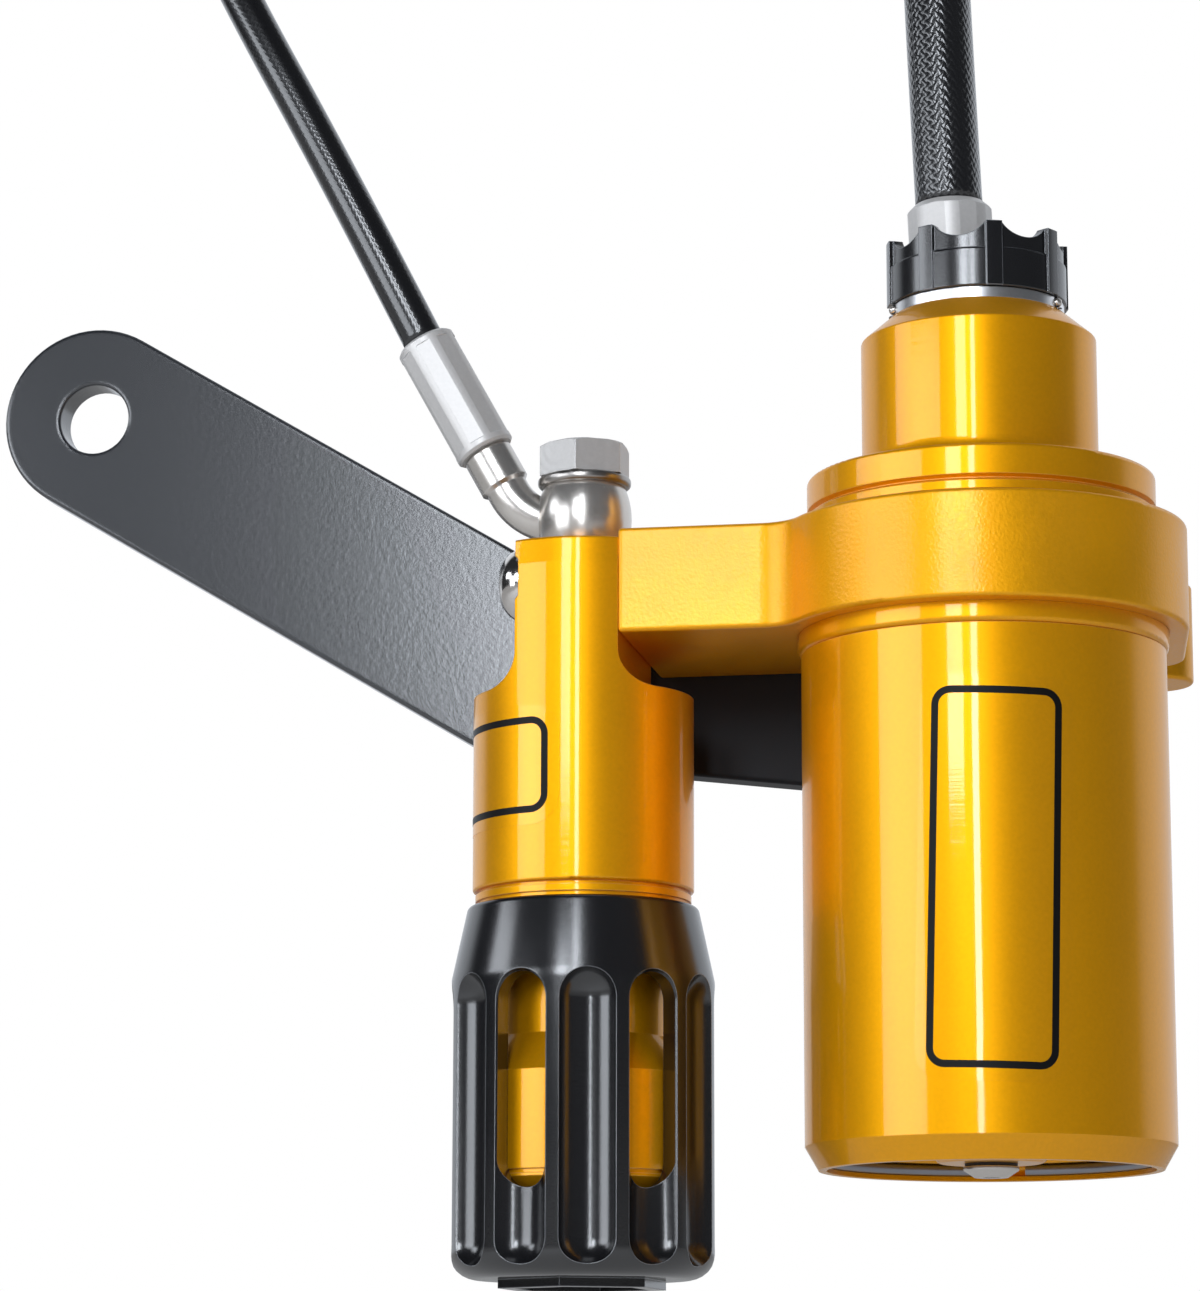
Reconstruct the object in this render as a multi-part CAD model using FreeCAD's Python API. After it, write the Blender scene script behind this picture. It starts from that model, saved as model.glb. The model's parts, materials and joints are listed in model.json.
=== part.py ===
import FreeCAD, Part
import math
import os

# Remote unit of a motorcycle rear shock absorber: a gas reservoir with a
# compression dial and a hydraulic spring preload adjuster, side by side in one
# split clamp on a cranked bracket, with the two hoses that run to the shock.
# Millimetres, +Z up. The origin is the centre of the bracket's fixing hole.

Vector = FreeCAD.Vector
UP = Vector(0, 0, 1)

# Running clearance of turning and sliding fits, and of screws in their threads
fit = 0.05
thread_play = 0.02
seal_play = 0.05

# Bracket plate
bracket_thickness = 6.0
bracket_width = 29.0
bracket_hole_radius = 5.5
bracket_leg_slope = 31.0
bracket_tail_slope = 6.6
bracket_leg_length = 80.8
bracket_bend_radius = 9.0
bracket_end_corner = 5.0
bracket_edge = 0.6

# Where the reservoir's axis and foot lie from the bracket's hole
reservoir_from_hole = 140.8
reservoir_below_hole = 116.9
arm_back_from_axis = 24.3

# Reservoir tube, end cap and gas valve
reservoir_radius = 26.0
reservoir_wall = 3.0
foot_bevel_height = 3.3
foot_bevel_depth = 1.9
tube_top = 69.8
circlip_wire = 0.8
circlip_above_foot = 1.6
end_cap_height = 14.0
end_cap_web = 5.0
end_cap_boss_radius = 7.6
end_cap_boss_height = 3.4
gas_screw_radius = 3.0
gas_screw_head_radius = 3.9
gas_screw_length = 6.0
o_ring_radius = 0.75

# Floating piston
piston_height = 20.0
piston_above_foot = 32.0
piston_travel_up = 18.0
piston_travel_down = 14.0
band_height = 6.0
band_depth = 1.2

# Reservoir head
head_skirt_radius = 26.4
head_plug_depth = 8.0
flange_top = 95.3
flange_radius = 25.0
neck_radius = 17.0
neck_top = 115.8
neck_fillet = 3.0
bevel_top = 119.6
bevel_radius = 12.6
gallery_radius = 3.2

# Compression dial, its detent and its needle
dial_radius = 12.4
dial_inner_radius = 10.35
dial_height = 8.15
dial_ledge_height = 4.15
dial_ledge_radius = 12.1
dial_lobes = 8
dial_lobe_width = 2.2
dial_lobe_turn = -74.0
dial_scoop_depth = 2.0
dial_skirt_radius = 11.3
dial_skirt_length = 9.0
detent_plate_height = 1.55
detent_notches = 24
spigot_height = 3.4
dial_ring_height = 1.0
detent_ball_radius = 0.75
detent_spring_length = 2.6
needle_radius = 0.9
needle_length = 16.0
needle_from_axis = 10.8
needle_travel = 1.5

# Clamp
clamp_bottom = 72.7
clamp_height = 15.2
clamp_wall = 2.9
clamp_front_from_axis = 12.4
arm_blend_radius = 6.7
clamp_edge = 0.6
ear_nose_radius = 6.0
ear_centre_y = 22.5
lug_nose_radius = 6.5
lug_centre_y = 42.5
lug_x = 21.7
slot_root_x = 9.0
saw_cut = 2.0
lug_left_x = -7.0
web_corner = 4.0

# Metric screws
screw_radius = 3.0
screw_hole_radius = 3.3
cap_head_radius = 5.0
cap_head_height = 6.0
cap_socket = 5.0
button_head_radius = 5.4
button_head_height = 3.4
button_socket = 4.0
washer_radius = 6.0
washer_thickness = 1.6
pinch_screw_length = 30.0
bracket_screw_length = 16.0
bracket_screw_x = (-41.0, -26.0)
mount_screw_length = 28.0
mount_screw_spacing = 17.0
spotface_radius = 6.4
spotface_depth = 0.5

# Preload adjuster body
adjuster_x = -58.4
adjuster_y = 2.0
body_radius = 16.0
body_bottom = 37.2
body_top = 86.8
body_cone_depth = 0.25
neck_half_width = 7.5
flat_fillet = 5.0
flat_bottom = 65.5
lip_radius = 15.6
lip_height = 1.3
oil_bore_radius = 11.0
oil_bore_top = 61.5
oil_port_radius = 2.0

# Preload knob
knob_top = 35.1
knob_top_radius = 16.6
knob_radius = 19.0
knob_cone_bottom = 24.0
knob_bottom = -18.0
knob_corner = 4.0
knob_recess_radius = 9.9
groove_count = 12
groove_width = 8.0
groove_top = 24.4
groove_bottom = -16.8
groove_floor_radius = 16.2
window_bottom = -5.8
groove_turn = -28.0

# Lead screw and travelling piston
barrel_chamfer = 1.5

# Banjo on the adjuster
banjo_bolt_radius = 4.0
hex_across_flats = 12.0
hex_height = 4.8
hex_turn = -7.0
seal_washer_radius = 6.85
lower_washer_height = 1.0
upper_washer_height = 1.5
eye_height = 9.4
eye_radius = 6.95
eye_end_radius = 6.0
banjo_tube_radius = 3.15
banjo_tube_start = 3.4
banjo_tube_drop = 4.9
banjo_bend_radius = 9.0
hose_lean = 29.0
collar_radius = 3.7
collar_start = 0.9
collar_length = 6.3
preload_ferrule_radius = 4.45
preload_ferrule_length = 19.7
preload_hose_radius = 3.05

# Hose fitting on the reservoir
ferrule_radius = 6.15
ferrule_length = 11.6
ferrule_chamfer = 1.0
reservoir_hose_radius = 4.9

# Far fittings of the hoses
far_ferrule_length = 20.0
far_stem_length = 7.0
far_eye_radius = 9.0
far_eye_height = 12.0
far_eye_bore = 5.1
far_stem_radius = 3.6
small_eye_radius = 7.0
small_eye_height = 9.0
small_eye_bore = 4.1
small_stem_radius = 2.8

# Routes of the two hoses, from the reservoir's foot
reservoir_route = [
    (-5.25, 0.0, 167.5),
    (-6.6, 4.5, 199.5),
    (-8.0, 23.4, 226.5),
    (-9.2, 53.1, 241.0),
    (-10.0, 86.0, 239.8),
]
preload_route = [
    (-97.0, 2.0, 148.5),
    (-112.3, 2.5, 176.5),
    (-126.0, 8.0, 204.0),
    (-133.0, 30.0, 232.0),
    (-134.0, 62.0, 240.0),
    (-133.0, 94.0, 237.0),
]

head_skirt_top = 88.6
vee_bottom = 90.0
vee_top = 90.9
vee_depth = 0.7
dial_bore_top = 2.0
dial_upper_bore = 11.1
dial_upper_radius = 11.8
dial_skirt_inner = 10.35
cam_steps = 20
cam_turn = 300.0
needle_bearing = 90.0
detent_gap = 0.1
spigot_outer = 10.1
spigot_inner = 8.9
spigot_top = 125.0
snap_ring_z = 124.1
click_ball_radius = 0.7
click_spring_length = 3.0
click_bearings = (200.0, 340.0)
union_tilt = 2.4
union_foot = (-2.9, 112.0)
union_top = 125.4
union_radius = 5.0
union_bore = 2.5
mount_screw_z = 81.1
body_top_band = 3.8
body_top_slope = 0.3
barrel_radius = 15.6
barrel_bottom = -5.6
barrel_mark_z = -3.4
lip_groove = 0.5
knob_play = 0.1
knob_top_edge = 1.0
knob_floor_top = -9.0
knob_floor = 2.0
recess_lip = 1.4
screw_cup_height = 4.4
screw_cup_floor = 2.0
screw_cup_wall = 1.5
circlip_thickness = 1.0
circlip_width = 1.4
lead_radius = 5.0
lead_tip = 44.0
plug_top = 10.0
thrust_ball_radius = 2.0
oil_piston_bottom = 47.0
oil_piston_top = 60.0
knob_ball_radius = 1.2
knob_ball_z = 2.0
barrel_waist_radius = 12.3
barrel_waist_low = 10.8
barrel_cone_top = 16.2
barrel_lip_low = 28.0
crimp_flats = 8
crimp_depth = 0.15
# Values worked out from the ones above
bracket_front = -bracket_thickness / 2
reservoir_x = reservoir_from_hole
reservoir_y = bracket_front - arm_back_from_axis
reservoir_z = -reservoir_below_hole
foot = Vector(reservoir_x, reservoir_y, reservoir_z)
tube_bore = reservoir_radius - reservoir_wall
clamp_top = clamp_bottom + clamp_height
clamp_middle = clamp_bottom + clamp_height / 2
arm_end_x = adjuster_x + neck_half_width
dial_bottom = bevel_top + detent_plate_height + detent_gap
clamp_outer = head_skirt_radius + clamp_wall
needle_top = dial_bottom - dial_skirt_length + needle_travel + 0.05


def at(x, y, z):
    """Place given from the reservoir's foot."""
    return foot + Vector(x, y, z)


def rounded_wire(corners, place):
    """Closed wire through the corners (u, v, radius), each rounded by its radius."""
    spans = []
    count = len(corners)
    for i, (u, v, radius) in enumerate(corners):
        here = Vector(u, v, 0)
        back = Vector(*corners[i - 1][:2], 0) - here
        ahead = Vector(*corners[(i + 1) % count][:2], 0) - here
        back.normalize()
        ahead.normalize()
        if radius <= 0:
            spans.append((here, None, here))
            continue
        half = back.getAngle(ahead) / 2
        reach = radius / math.tan(half)
        middle = (back + ahead).normalize()
        near = here + middle * (radius / math.sin(half) - radius)
        spans.append((here + back * reach, near, here + ahead * reach))
    edges = []
    for i, (start, near, end) in enumerate(spans):
        if near is not None:
            arc = Part.Arc(place(start), place(near), place(end))
            edges.append(arc.toShape())
        following = spans[(i + 1) % count][0]
        if (following - end).Length > 1e-6:
            edges.append(Part.LineSegment(place(end), place(following)).toShape())
    return Part.Wire(edges)


def turned(corners, x=0.0, y=0.0):
    """Solid of revolution about a vertical axis, from corners (radius, height, rounding)."""
    wire = rounded_wire(corners, lambda p: Vector(p.x, 0, p.y))
    solid = Part.Face(wire).revolve(Vector(0, 0, 0), UP, 360)
    solid.translate(at(x, y, 0))
    return solid


def ring(inner, outer, low, high, x=0.0, y=0.0):
    """Plain ring round a vertical axis."""
    corners = [(inner, low, 0), (outer, low, 0), (outer, high, 0), (inner, high, 0)]
    return turned(corners, x, y)


def rod(radius, start, end):
    """Cylinder from one point to another."""
    way = end - start
    return Part.makeCylinder(radius, way.Length, start, way)


def o_ring(centre_radius, height, section=o_ring_radius, x=0.0, y=0.0):
    """Torus round a vertical axis."""
    return Part.makeTorus(centre_radius, section, at(x, y, height), UP)


def prism(corners, low, high):
    """Upright block over a flat outline given from the reservoir's axis."""
    wire = rounded_wire(corners, lambda p: at(p.x, p.y, low))
    return Part.Face(wire).extrude(Vector(0, 0, high - low))


def hexagon(across, start, way, length, turn=0.0):
    """Hexagonal bar or socket from a point along a direction."""
    corner = across / math.sqrt(3)
    points = []
    for k in range(7):
        angle = math.radians(60 * k + turn)
        points.append(Vector(corner * math.cos(angle), corner * math.sin(angle), 0))
    bar = Part.Face(Part.makePolygon(points)).extrude(Vector(0, 0, length))
    bar.Placement = FreeCAD.Placement(start, FreeCAD.Rotation(UP, way))
    return bar


def button_screw(seat, way, length):
    """Button head screw whose shank runs along way from the seat."""
    dome = button_head_radius * 0.55
    arc = Part.Arc(
        Vector(button_head_radius, 0, -0.6),
        Vector(button_head_radius * 0.86, 0, -button_head_height * 0.62),
        Vector(dome, 0, -button_head_height),
    ).toShape()
    points = [Vector(dome, 0, -button_head_height), Vector(0, 0, -button_head_height)]
    points += [Vector(0, 0, length), Vector(screw_radius, 0, length)]
    points += [Vector(screw_radius, 0, 0), Vector(button_head_radius, 0, 0)]
    points += [Vector(button_head_radius, 0, -0.6)]
    lines = [Part.LineSegment(a, b).toShape() for a, b in zip(points, points[1:])]
    screw = Part.Face(Part.Wire([arc] + lines)).revolve(Vector(0, 0, 0), UP, 360)
    depth = button_head_height * 0.65
    socket = hexagon(button_socket, Vector(0, 0, -button_head_height), UP, depth)
    screw = screw.cut(socket)
    screw.Placement = FreeCAD.Placement(seat, FreeCAD.Rotation(UP, way))
    return screw


def cap_screw(seat, way, length):
    """Socket cap screw whose shank runs along way from the seat."""
    head = Part.makeCylinder(cap_head_radius, cap_head_height, Vector(0, 0, -cap_head_height))
    head = head.makeChamfer(0.5, [head.Edges[2]])
    shank = Part.makeCylinder(screw_radius, length)
    depth = cap_head_height / 2
    socket = hexagon(cap_socket, Vector(0, 0, -cap_head_height), UP, depth)
    screw = head.fuse(shank).cut(socket)
    screw.Placement = FreeCAD.Placement(seat, FreeCAD.Rotation(UP, way))
    return screw


def hose_path(points):
    """Straight runs joined by tangent arcs, with the arcs' radii."""
    edges = []
    radii = []
    last = points[0]
    for before, here, after in zip(points, points[1:], points[2:]):
        back = before - here
        ahead = after - here
        shorter = min(back.Length, ahead.Length)
        half_turn = (math.pi - back.getAngle(ahead)) / 2
        radius = 0.45 * shorter / math.tan(half_turn)
        reach = 0.45 * shorter
        back.normalize()
        ahead.normalize()
        middle = (back + ahead).normalize()
        near = here + middle * (radius / math.cos(half_turn) - radius)
        start = here + back * reach
        end = here + ahead * reach
        edges.append(Part.LineSegment(last, start).toShape())
        edges.append(Part.Arc(start, near, end).toShape())
        radii.append(radius)
        last = end
    edges.append(Part.LineSegment(last, points[-1]).toShape())
    return Part.Wire(edges), radii


def hose(name, points, radius):
    """Solid hose along its route."""
    path, radii = hose_path(points)
    way = points[1] - points[0]
    section = Part.Wire(Part.makeCircle(radius, points[0], way))
    tube = path.makePipeShell([section], True, False)
    share = tube.Volume / (math.pi * radius ** 2 * path.Length)
    print(name, "length", round(path.Length, 1), "volume share", round(share, 4))
    print(name, "radii", [round(r, 1) for r in radii])
    return tube


def make_bracket():
    """Cranked plate: sloping leg with the fixing hole, and a tail behind the clamp."""
    half = bracket_width / 2
    leg = math.radians(-bracket_leg_slope)
    tail = math.radians(-bracket_tail_slope)
    bend_x = bracket_leg_length * math.cos(leg)
    bend_z = bracket_leg_length * math.sin(leg)
    tail_end = reservoir_x - math.sqrt((reservoir_radius + clamp_wall) ** 2 - arm_back_from_axis ** 2)
    tail_length = (tail_end - 1.0 - bend_x) / math.cos(tail)
    middle = (leg + tail) / 2
    mitre = half / math.cos((tail - leg) / 2)

    def beside(x, z, angle, offset):
        return x - offset * math.sin(angle), z + offset * math.cos(angle)

    end_x = bend_x + tail_length * math.cos(tail)
    end_z = bend_z + tail_length * math.sin(tail)
    start_x = -half * math.cos(leg)
    start_z = -half * math.sin(leg)
    corners = [
        beside(start_x, start_z, leg, half) + (half * 0.999,),
        beside(bend_x, bend_z, middle, mitre) + (bracket_bend_radius,),
        beside(end_x, end_z, tail, half) + (bracket_end_corner,),
        beside(end_x, end_z, tail, -half) + (bracket_end_corner,),
        beside(bend_x, bend_z, middle, -mitre) + (bracket_bend_radius + half,),
        beside(start_x, start_z, leg, -half) + (half * 0.999,),
    ]
    wire = rounded_wire(corners, lambda p: Vector(p.x, bracket_front, p.y))
    plate = Part.Face(wire).extrude(Vector(0, bracket_thickness, 0))
    front_or_back = [e for e in plate.Edges if abs(e.BoundBox.YLength) < 1e-6]
    plate = plate.makeFillet(bracket_edge, front_or_back)
    hole = rod(bracket_hole_radius, Vector(0, bracket_front - 1, 0), Vector(0, -bracket_front + 1, 0))
    plate = plate.cut(hole)
    rims = [e for e in plate.Edges if e.Curve.TypeId == "Part::GeomCircle"
            and abs(e.Curve.Radius - bracket_hole_radius) < 1e-3]
    plate = plate.makeFillet(0.5, rims)
    for x in bracket_screw_x:
        centre = at(x, 0, clamp_middle)
        start = Vector(centre.x, bracket_front - 1, centre.z)
        end = Vector(centre.x, -bracket_front + 1, centre.z)
        plate = plate.cut(rod(screw_hole_radius, start, end))
    return plate


def make_bracket_screws():
    """The two cap screws that hold the clamp's arm to the bracket, with their washers."""
    screws = []
    washers = []
    back = arm_back_from_axis + bracket_thickness
    for x in bracket_screw_x:
        face = at(x, back, clamp_middle)
        seat = face + Vector(0, washer_thickness, 0)
        disc = rod(washer_radius, face, seat)
        washers.append(disc.cut(rod(screw_hole_radius, face, seat)))
        screws.append(cap_screw(seat, Vector(0, -1, 0), bracket_screw_length))
    return screws, washers


def ear_tangent(outer):
    """Where the straight right side of the clamp leaves the ring and meets the ear."""
    distance = math.hypot(lug_x, ear_centre_y)
    bearing = math.atan2(ear_centre_y, lug_x)
    angle = bearing - math.acos((outer - ear_nose_radius) / distance)
    out = Vector(math.cos(angle), math.sin(angle), 0)
    return out * outer, Vector(lug_x, ear_centre_y, 0) + out * ear_nose_radius


def make_clamp():
    """Arm to the adjuster, split ring round the head, and the pinch ears behind it."""
    outer = clamp_outer
    front = -clamp_front_from_axis
    back = arm_back_from_axis
    ear_back = ear_centre_y + ear_nose_radius
    lug_front = lug_centre_y - lug_nose_radius
    lug_back = lug_centre_y + lug_nose_radius
    low, high = clamp_bottom, clamp_top
    body = prism([(arm_end_x, front, 0), (0, front, 0), (0, back, 0), (arm_end_x, back, 0)], low, high)
    body = body.fuse(Part.makeCylinder(outer, clamp_height, at(0, 0, low)))
    blend_y = front - arm_blend_radius
    blend_x = -math.sqrt((outer + arm_blend_radius) ** 2 - blend_y ** 2)
    share = outer / (outer + arm_blend_radius)
    web = prism([(blend_x, front, 0), (blend_x * share * 0.9, front + 1, 0),
                 (blend_x * share, blend_y * share, 0), (blend_x, blend_y, 0)], low, high)
    hollow = Part.makeCylinder(arm_blend_radius, clamp_height, at(blend_x, blend_y, low))
    body = body.fuse(web.cut(hollow))
    on_ring, on_ear = ear_tangent(outer)
    side = [(0, 0, 0), (on_ring.x, on_ring.y, 0), (on_ear.x, on_ear.y, 0),
            (lug_x, ear_centre_y, 0), (lug_x, ear_back, 0), (0, ear_back, 0)]
    body = body.fuse(prism(side, low, high))
    body = body.fuse(Part.makeCylinder(ear_nose_radius, clamp_height, at(lug_x, ear_centre_y, low)))
    block = [(lug_left_x, ear_centre_y, 0), (lug_x, ear_centre_y, 0),
             (lug_x, lug_back, 0), (lug_left_x, lug_back, web_corner)]
    rear = prism(block, low, high)
    rear = rear.fuse(Part.makeCylinder(lug_nose_radius, clamp_height, at(lug_x, lug_centre_y, low)))
    half = (lug_front - ear_back) / 2 - 0.01
    slot = prism([(slot_root_x, ear_back, half), (lug_x + 9, ear_back, 0),
                  (lug_x + 9, lug_front, 0), (slot_root_x, lug_front, half)], low - 1, high + 1)
    body = body.fuse(rear).cut(slot).removeSplitter()
    arm_end = at(arm_end_x, 0, 0).x
    edges = [e for e in body.Edges if e.BoundBox.ZLength < 1e-3 or abs(e.BoundBox.XMax - arm_end) < 1e-3]
    body = body.makeFillet(clamp_edge, edges)
    bore = Part.makeCylinder(head_skirt_radius + fit, clamp_height + 2, at(0, 0, low - 1))
    cut_x = slot_root_x + half - saw_cut / 2
    saw = Part.makeBox(saw_cut, 14, clamp_height + 2, at(cut_x, ear_back - 12, low - 1))
    body = body.cut(bore).cut(saw)
    pinch = at(lug_x, lug_back, clamp_middle)
    ear_end = at(lug_x, lug_back - washer_thickness - pinch_screw_length - 1, clamp_middle)
    tools = [rod(screw_hole_radius, pinch, at(lug_x, lug_front, clamp_middle)),
             rod(screw_radius + thread_play, at(lug_x, ear_back, clamp_middle), ear_end)]
    for x in bracket_screw_x:
        depth = bracket_screw_length - bracket_thickness - washer_thickness + 0.5
        start = at(x, back, clamp_middle)
        tools.append(rod(screw_radius + thread_play, start, start - Vector(0, depth, 0)))
    for y in mount_screw_places():
        start = at(arm_end_x, y, mount_screw_z)
        depth = mount_screw_length - 2 * neck_half_width + spotface_depth + 0.5
        tools.append(rod(screw_radius + thread_play, start, start + Vector(depth, 0, 0)))
    return body.cut(tools)


def mount_screw_places():
    """Distances in Y of the two screws through the adjuster's neck."""
    return [adjuster_y - mount_screw_spacing / 2, adjuster_y + mount_screw_spacing / 2]


def make_pinch_screw():
    """Cap screw and washer that close the ring from behind."""
    face = at(lug_x, lug_centre_y + lug_nose_radius, clamp_middle)
    seat = face + Vector(0, washer_thickness, 0)
    disc = rod(washer_radius, face, seat).cut(rod(screw_hole_radius, face, seat))
    return cap_screw(seat, Vector(0, -1, 0), pinch_screw_length), disc


def make_tube():
    """Reservoir tube with a bevelled foot and a groove for the end cap's ring."""
    bevel = reservoir_radius - foot_bevel_depth
    mouth = tube_bore
    groove_z = -foot_bevel_height + circlip_above_foot
    tube = turned([
        (mouth, -foot_bevel_height, 0),
        (bevel, -foot_bevel_height, 0),
        (reservoir_radius, 0, 0),
        (reservoir_radius, tube_top, 0),
        (tube_bore, tube_top, 0),
    ])
    groove = Part.makeTorus(tube_bore, circlip_wire + fit, at(0, 0, groove_z), UP)
    return tube.cut(groove)


def make_end_cap():
    """Cup shaped cap pushed into the tube's foot, with a boss for the gas valve."""
    groove_z = -foot_bevel_height + circlip_above_foot
    low = groove_z + circlip_wire
    high = low + end_cap_height
    radius = tube_bore - fit
    web_low = low + 2.0
    boss_low = web_low - end_cap_boss_height
    seal_z = low + end_cap_height / 2
    cap = turned([
        (0, boss_low, 0),
        (end_cap_boss_radius, boss_low, 1.0),
        (end_cap_boss_radius + 1.2, web_low, 0),
        (radius - 3.0, web_low, 0.8),
        (radius - 2.2, low, 0),
        (radius, low, 0.3),
        (radius, high, 0.5),
        (radius - 4.0, high, 0),
        (radius - 4.0, web_low + end_cap_web, 1.5),
        (0, web_low + end_cap_web, 0),
    ])
    groove = ring(radius - 1.5, radius + 1, seal_z - 0.95, seal_z + 0.95)
    screw_hole = rod(gas_screw_radius + thread_play, at(0, 0, boss_low - 1), at(0, 0, boss_low + gas_screw_length))
    gas_hole = rod(0.8, at(0, 0, boss_low), at(0, 0, web_low + end_cap_web + 1))
    cap = cap.cut(groove).cut(screw_hole).cut(gas_hole)
    seal = o_ring(radius - 1.5 + o_ring_radius + seal_play / 2, seal_z, o_ring_radius - seal_play / 2)
    gas_seal_z = boss_low - 0.45
    gas_seal = ring(gas_screw_radius + fit, gas_screw_head_radius - 0.2, gas_seal_z, boss_low)
    head_low = gas_seal_z - 1.5
    screw = turned([
        (0, head_low, 0),
        (gas_screw_head_radius * 0.6, head_low, 0),
        (gas_screw_head_radius, head_low + 1.0, 0.4),
        (gas_screw_head_radius, gas_seal_z, 0),
        (gas_screw_radius, gas_seal_z, 0),
        (gas_screw_radius, boss_low + gas_screw_length - 1.5, 0),
        (0, boss_low + gas_screw_length - 1.5, 0),
    ])
    screw = screw.cut(hexagon(2.5, at(0, 0, head_low), UP, 1.2))
    return cap, seal, screw, gas_seal


def make_circlip():
    """Round wire ring in the tube's foot, open at one side."""
    groove_z = -foot_bevel_height + circlip_above_foot
    wire = Part.makeTorus(tube_bore - circlip_wire * 0.2, circlip_wire, at(0, 0, groove_z), UP)
    gap = Part.makeBox(6, 8, 4, at(-3, tube_bore - 4, groove_z - 2))
    return wire.cut(gap)


def make_floating_piston():
    """Floating piston with its glide band and seal."""
    radius = tube_bore - 4 * fit
    low = piston_above_foot
    high = low + piston_height
    band_low = low + 2.5
    seal_z = high - 4.5
    piston = turned([
        (0, low + 7, 0),
        (radius - 5, low + 7, 2.0),
        (radius - 5, low, 0),
        (radius, low, 0.6),
        (radius, high, 0.6),
        (0, high, 0),
    ])
    piston = piston.cut(ring(radius - band_depth, radius + 1, band_low, band_low + band_height))
    piston = piston.cut(ring(radius - 2.0, radius + 1, seal_z - 1.4, seal_z + 1.4))
    outer = tube_bore - fit
    band = ring(radius - band_depth, outer, band_low, band_low + band_height)
    gap = Part.makeBox(1.0, 6, band_height + 2, at(-0.5, tube_bore - 4, band_low - 1))
    seal_section = (outer - radius + 2.0) / 2
    seal = o_ring(outer - seal_section, seal_z, seal_section)
    return piston, band.cut(gap), seal


def make_head():
    """Reservoir head with its skirt, flange, neck, bevel, spigot and passages."""
    plug = tube_bore - fit
    plug_low = tube_top - head_plug_depth
    slot_inner = dial_skirt_inner - fit
    slot_outer = dial_skirt_radius + fit
    slot_low = dial_bottom - dial_skirt_length - 0.3
    head = turned([
        (0, plug_low, 0),
        (plug, plug_low, 0.5),
        (plug, tube_top, 0),
        (head_skirt_radius, tube_top, 0.8),
        (head_skirt_radius, head_skirt_top, 0.4),
        (flange_radius, head_skirt_top, 0),
        (flange_radius, vee_bottom, 0),
        (flange_radius - vee_depth, (vee_bottom + vee_top) / 2, 0),
        (flange_radius, vee_top, 0),
        (flange_radius, flange_top, 0.6),
        (neck_radius, flange_top, neck_fillet),
        (neck_radius, neck_top, 0.3),
        (bevel_radius, bevel_top, 0),
        (slot_outer, bevel_top, 0),
        (slot_outer, slot_low, 0),
        (slot_inner, slot_low, 0),
        (slot_inner, bevel_top, 0),
        (spigot_outer, bevel_top, 0),
        (spigot_outer, spigot_top, 0.3),
        (spigot_inner, spigot_top, 0),
        (spigot_inner, bevel_top, 0),
        (0, bevel_top, 0),
    ])
    seal_z = plug_low + 3.5
    head = head.cut(ring(plug - 1.5, plug + 1, seal_z - 0.95, seal_z + 0.95))
    seal = o_ring(plug - 1.5 + o_ring_radius + seal_play / 2, seal_z, o_ring_radius - seal_play / 2)
    axis = Vector(union_foot[0], 0, 0)
    needle_at = needle_place(0)
    needle_low = needle_top - needle_length
    seat_low = needle_low - needle_travel
    port_z = seat_low + 1.5
    tools = [
        union_rod(union_radius + thread_play, 0, union_top),
        rod(gallery_radius, at(axis.x, 0, plug_low - 1), at(axis.x, 0, union_foot[1] + 1)),
        rod(needle_radius + fit, at(needle_at.x, needle_at.y, seat_low), at(needle_at.x, needle_at.y, needle_top + 0.4)),
        rod(needle_radius * 0.7, at(needle_at.x, needle_at.y, plug_low - 1), at(needle_at.x, needle_at.y, seat_low)),
        rod(1.2, at(axis.x, 0, port_z), at(needle_at.x, needle_at.y, port_z)),
        ring(spigot_outer - 0.6, spigot_outer + 0.5, snap_ring_z - 0.35, snap_ring_z + 0.35),
    ]
    for place in click_places():
        tools.append(rod(click_ball_radius + fit, place - UP * click_spring_length, place + UP))
    return head.cut(tools), seal


def make_needle():
    """Pointed metering needle that the dial's cam pushes down."""
    place = needle_place(0)
    low = needle_top - needle_length
    return turned([(0, low, 0), (needle_radius, low + 2.5, 0),
                   (needle_radius, needle_top, 0.2), (0, needle_top, 0)], place.x, place.y)


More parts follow.
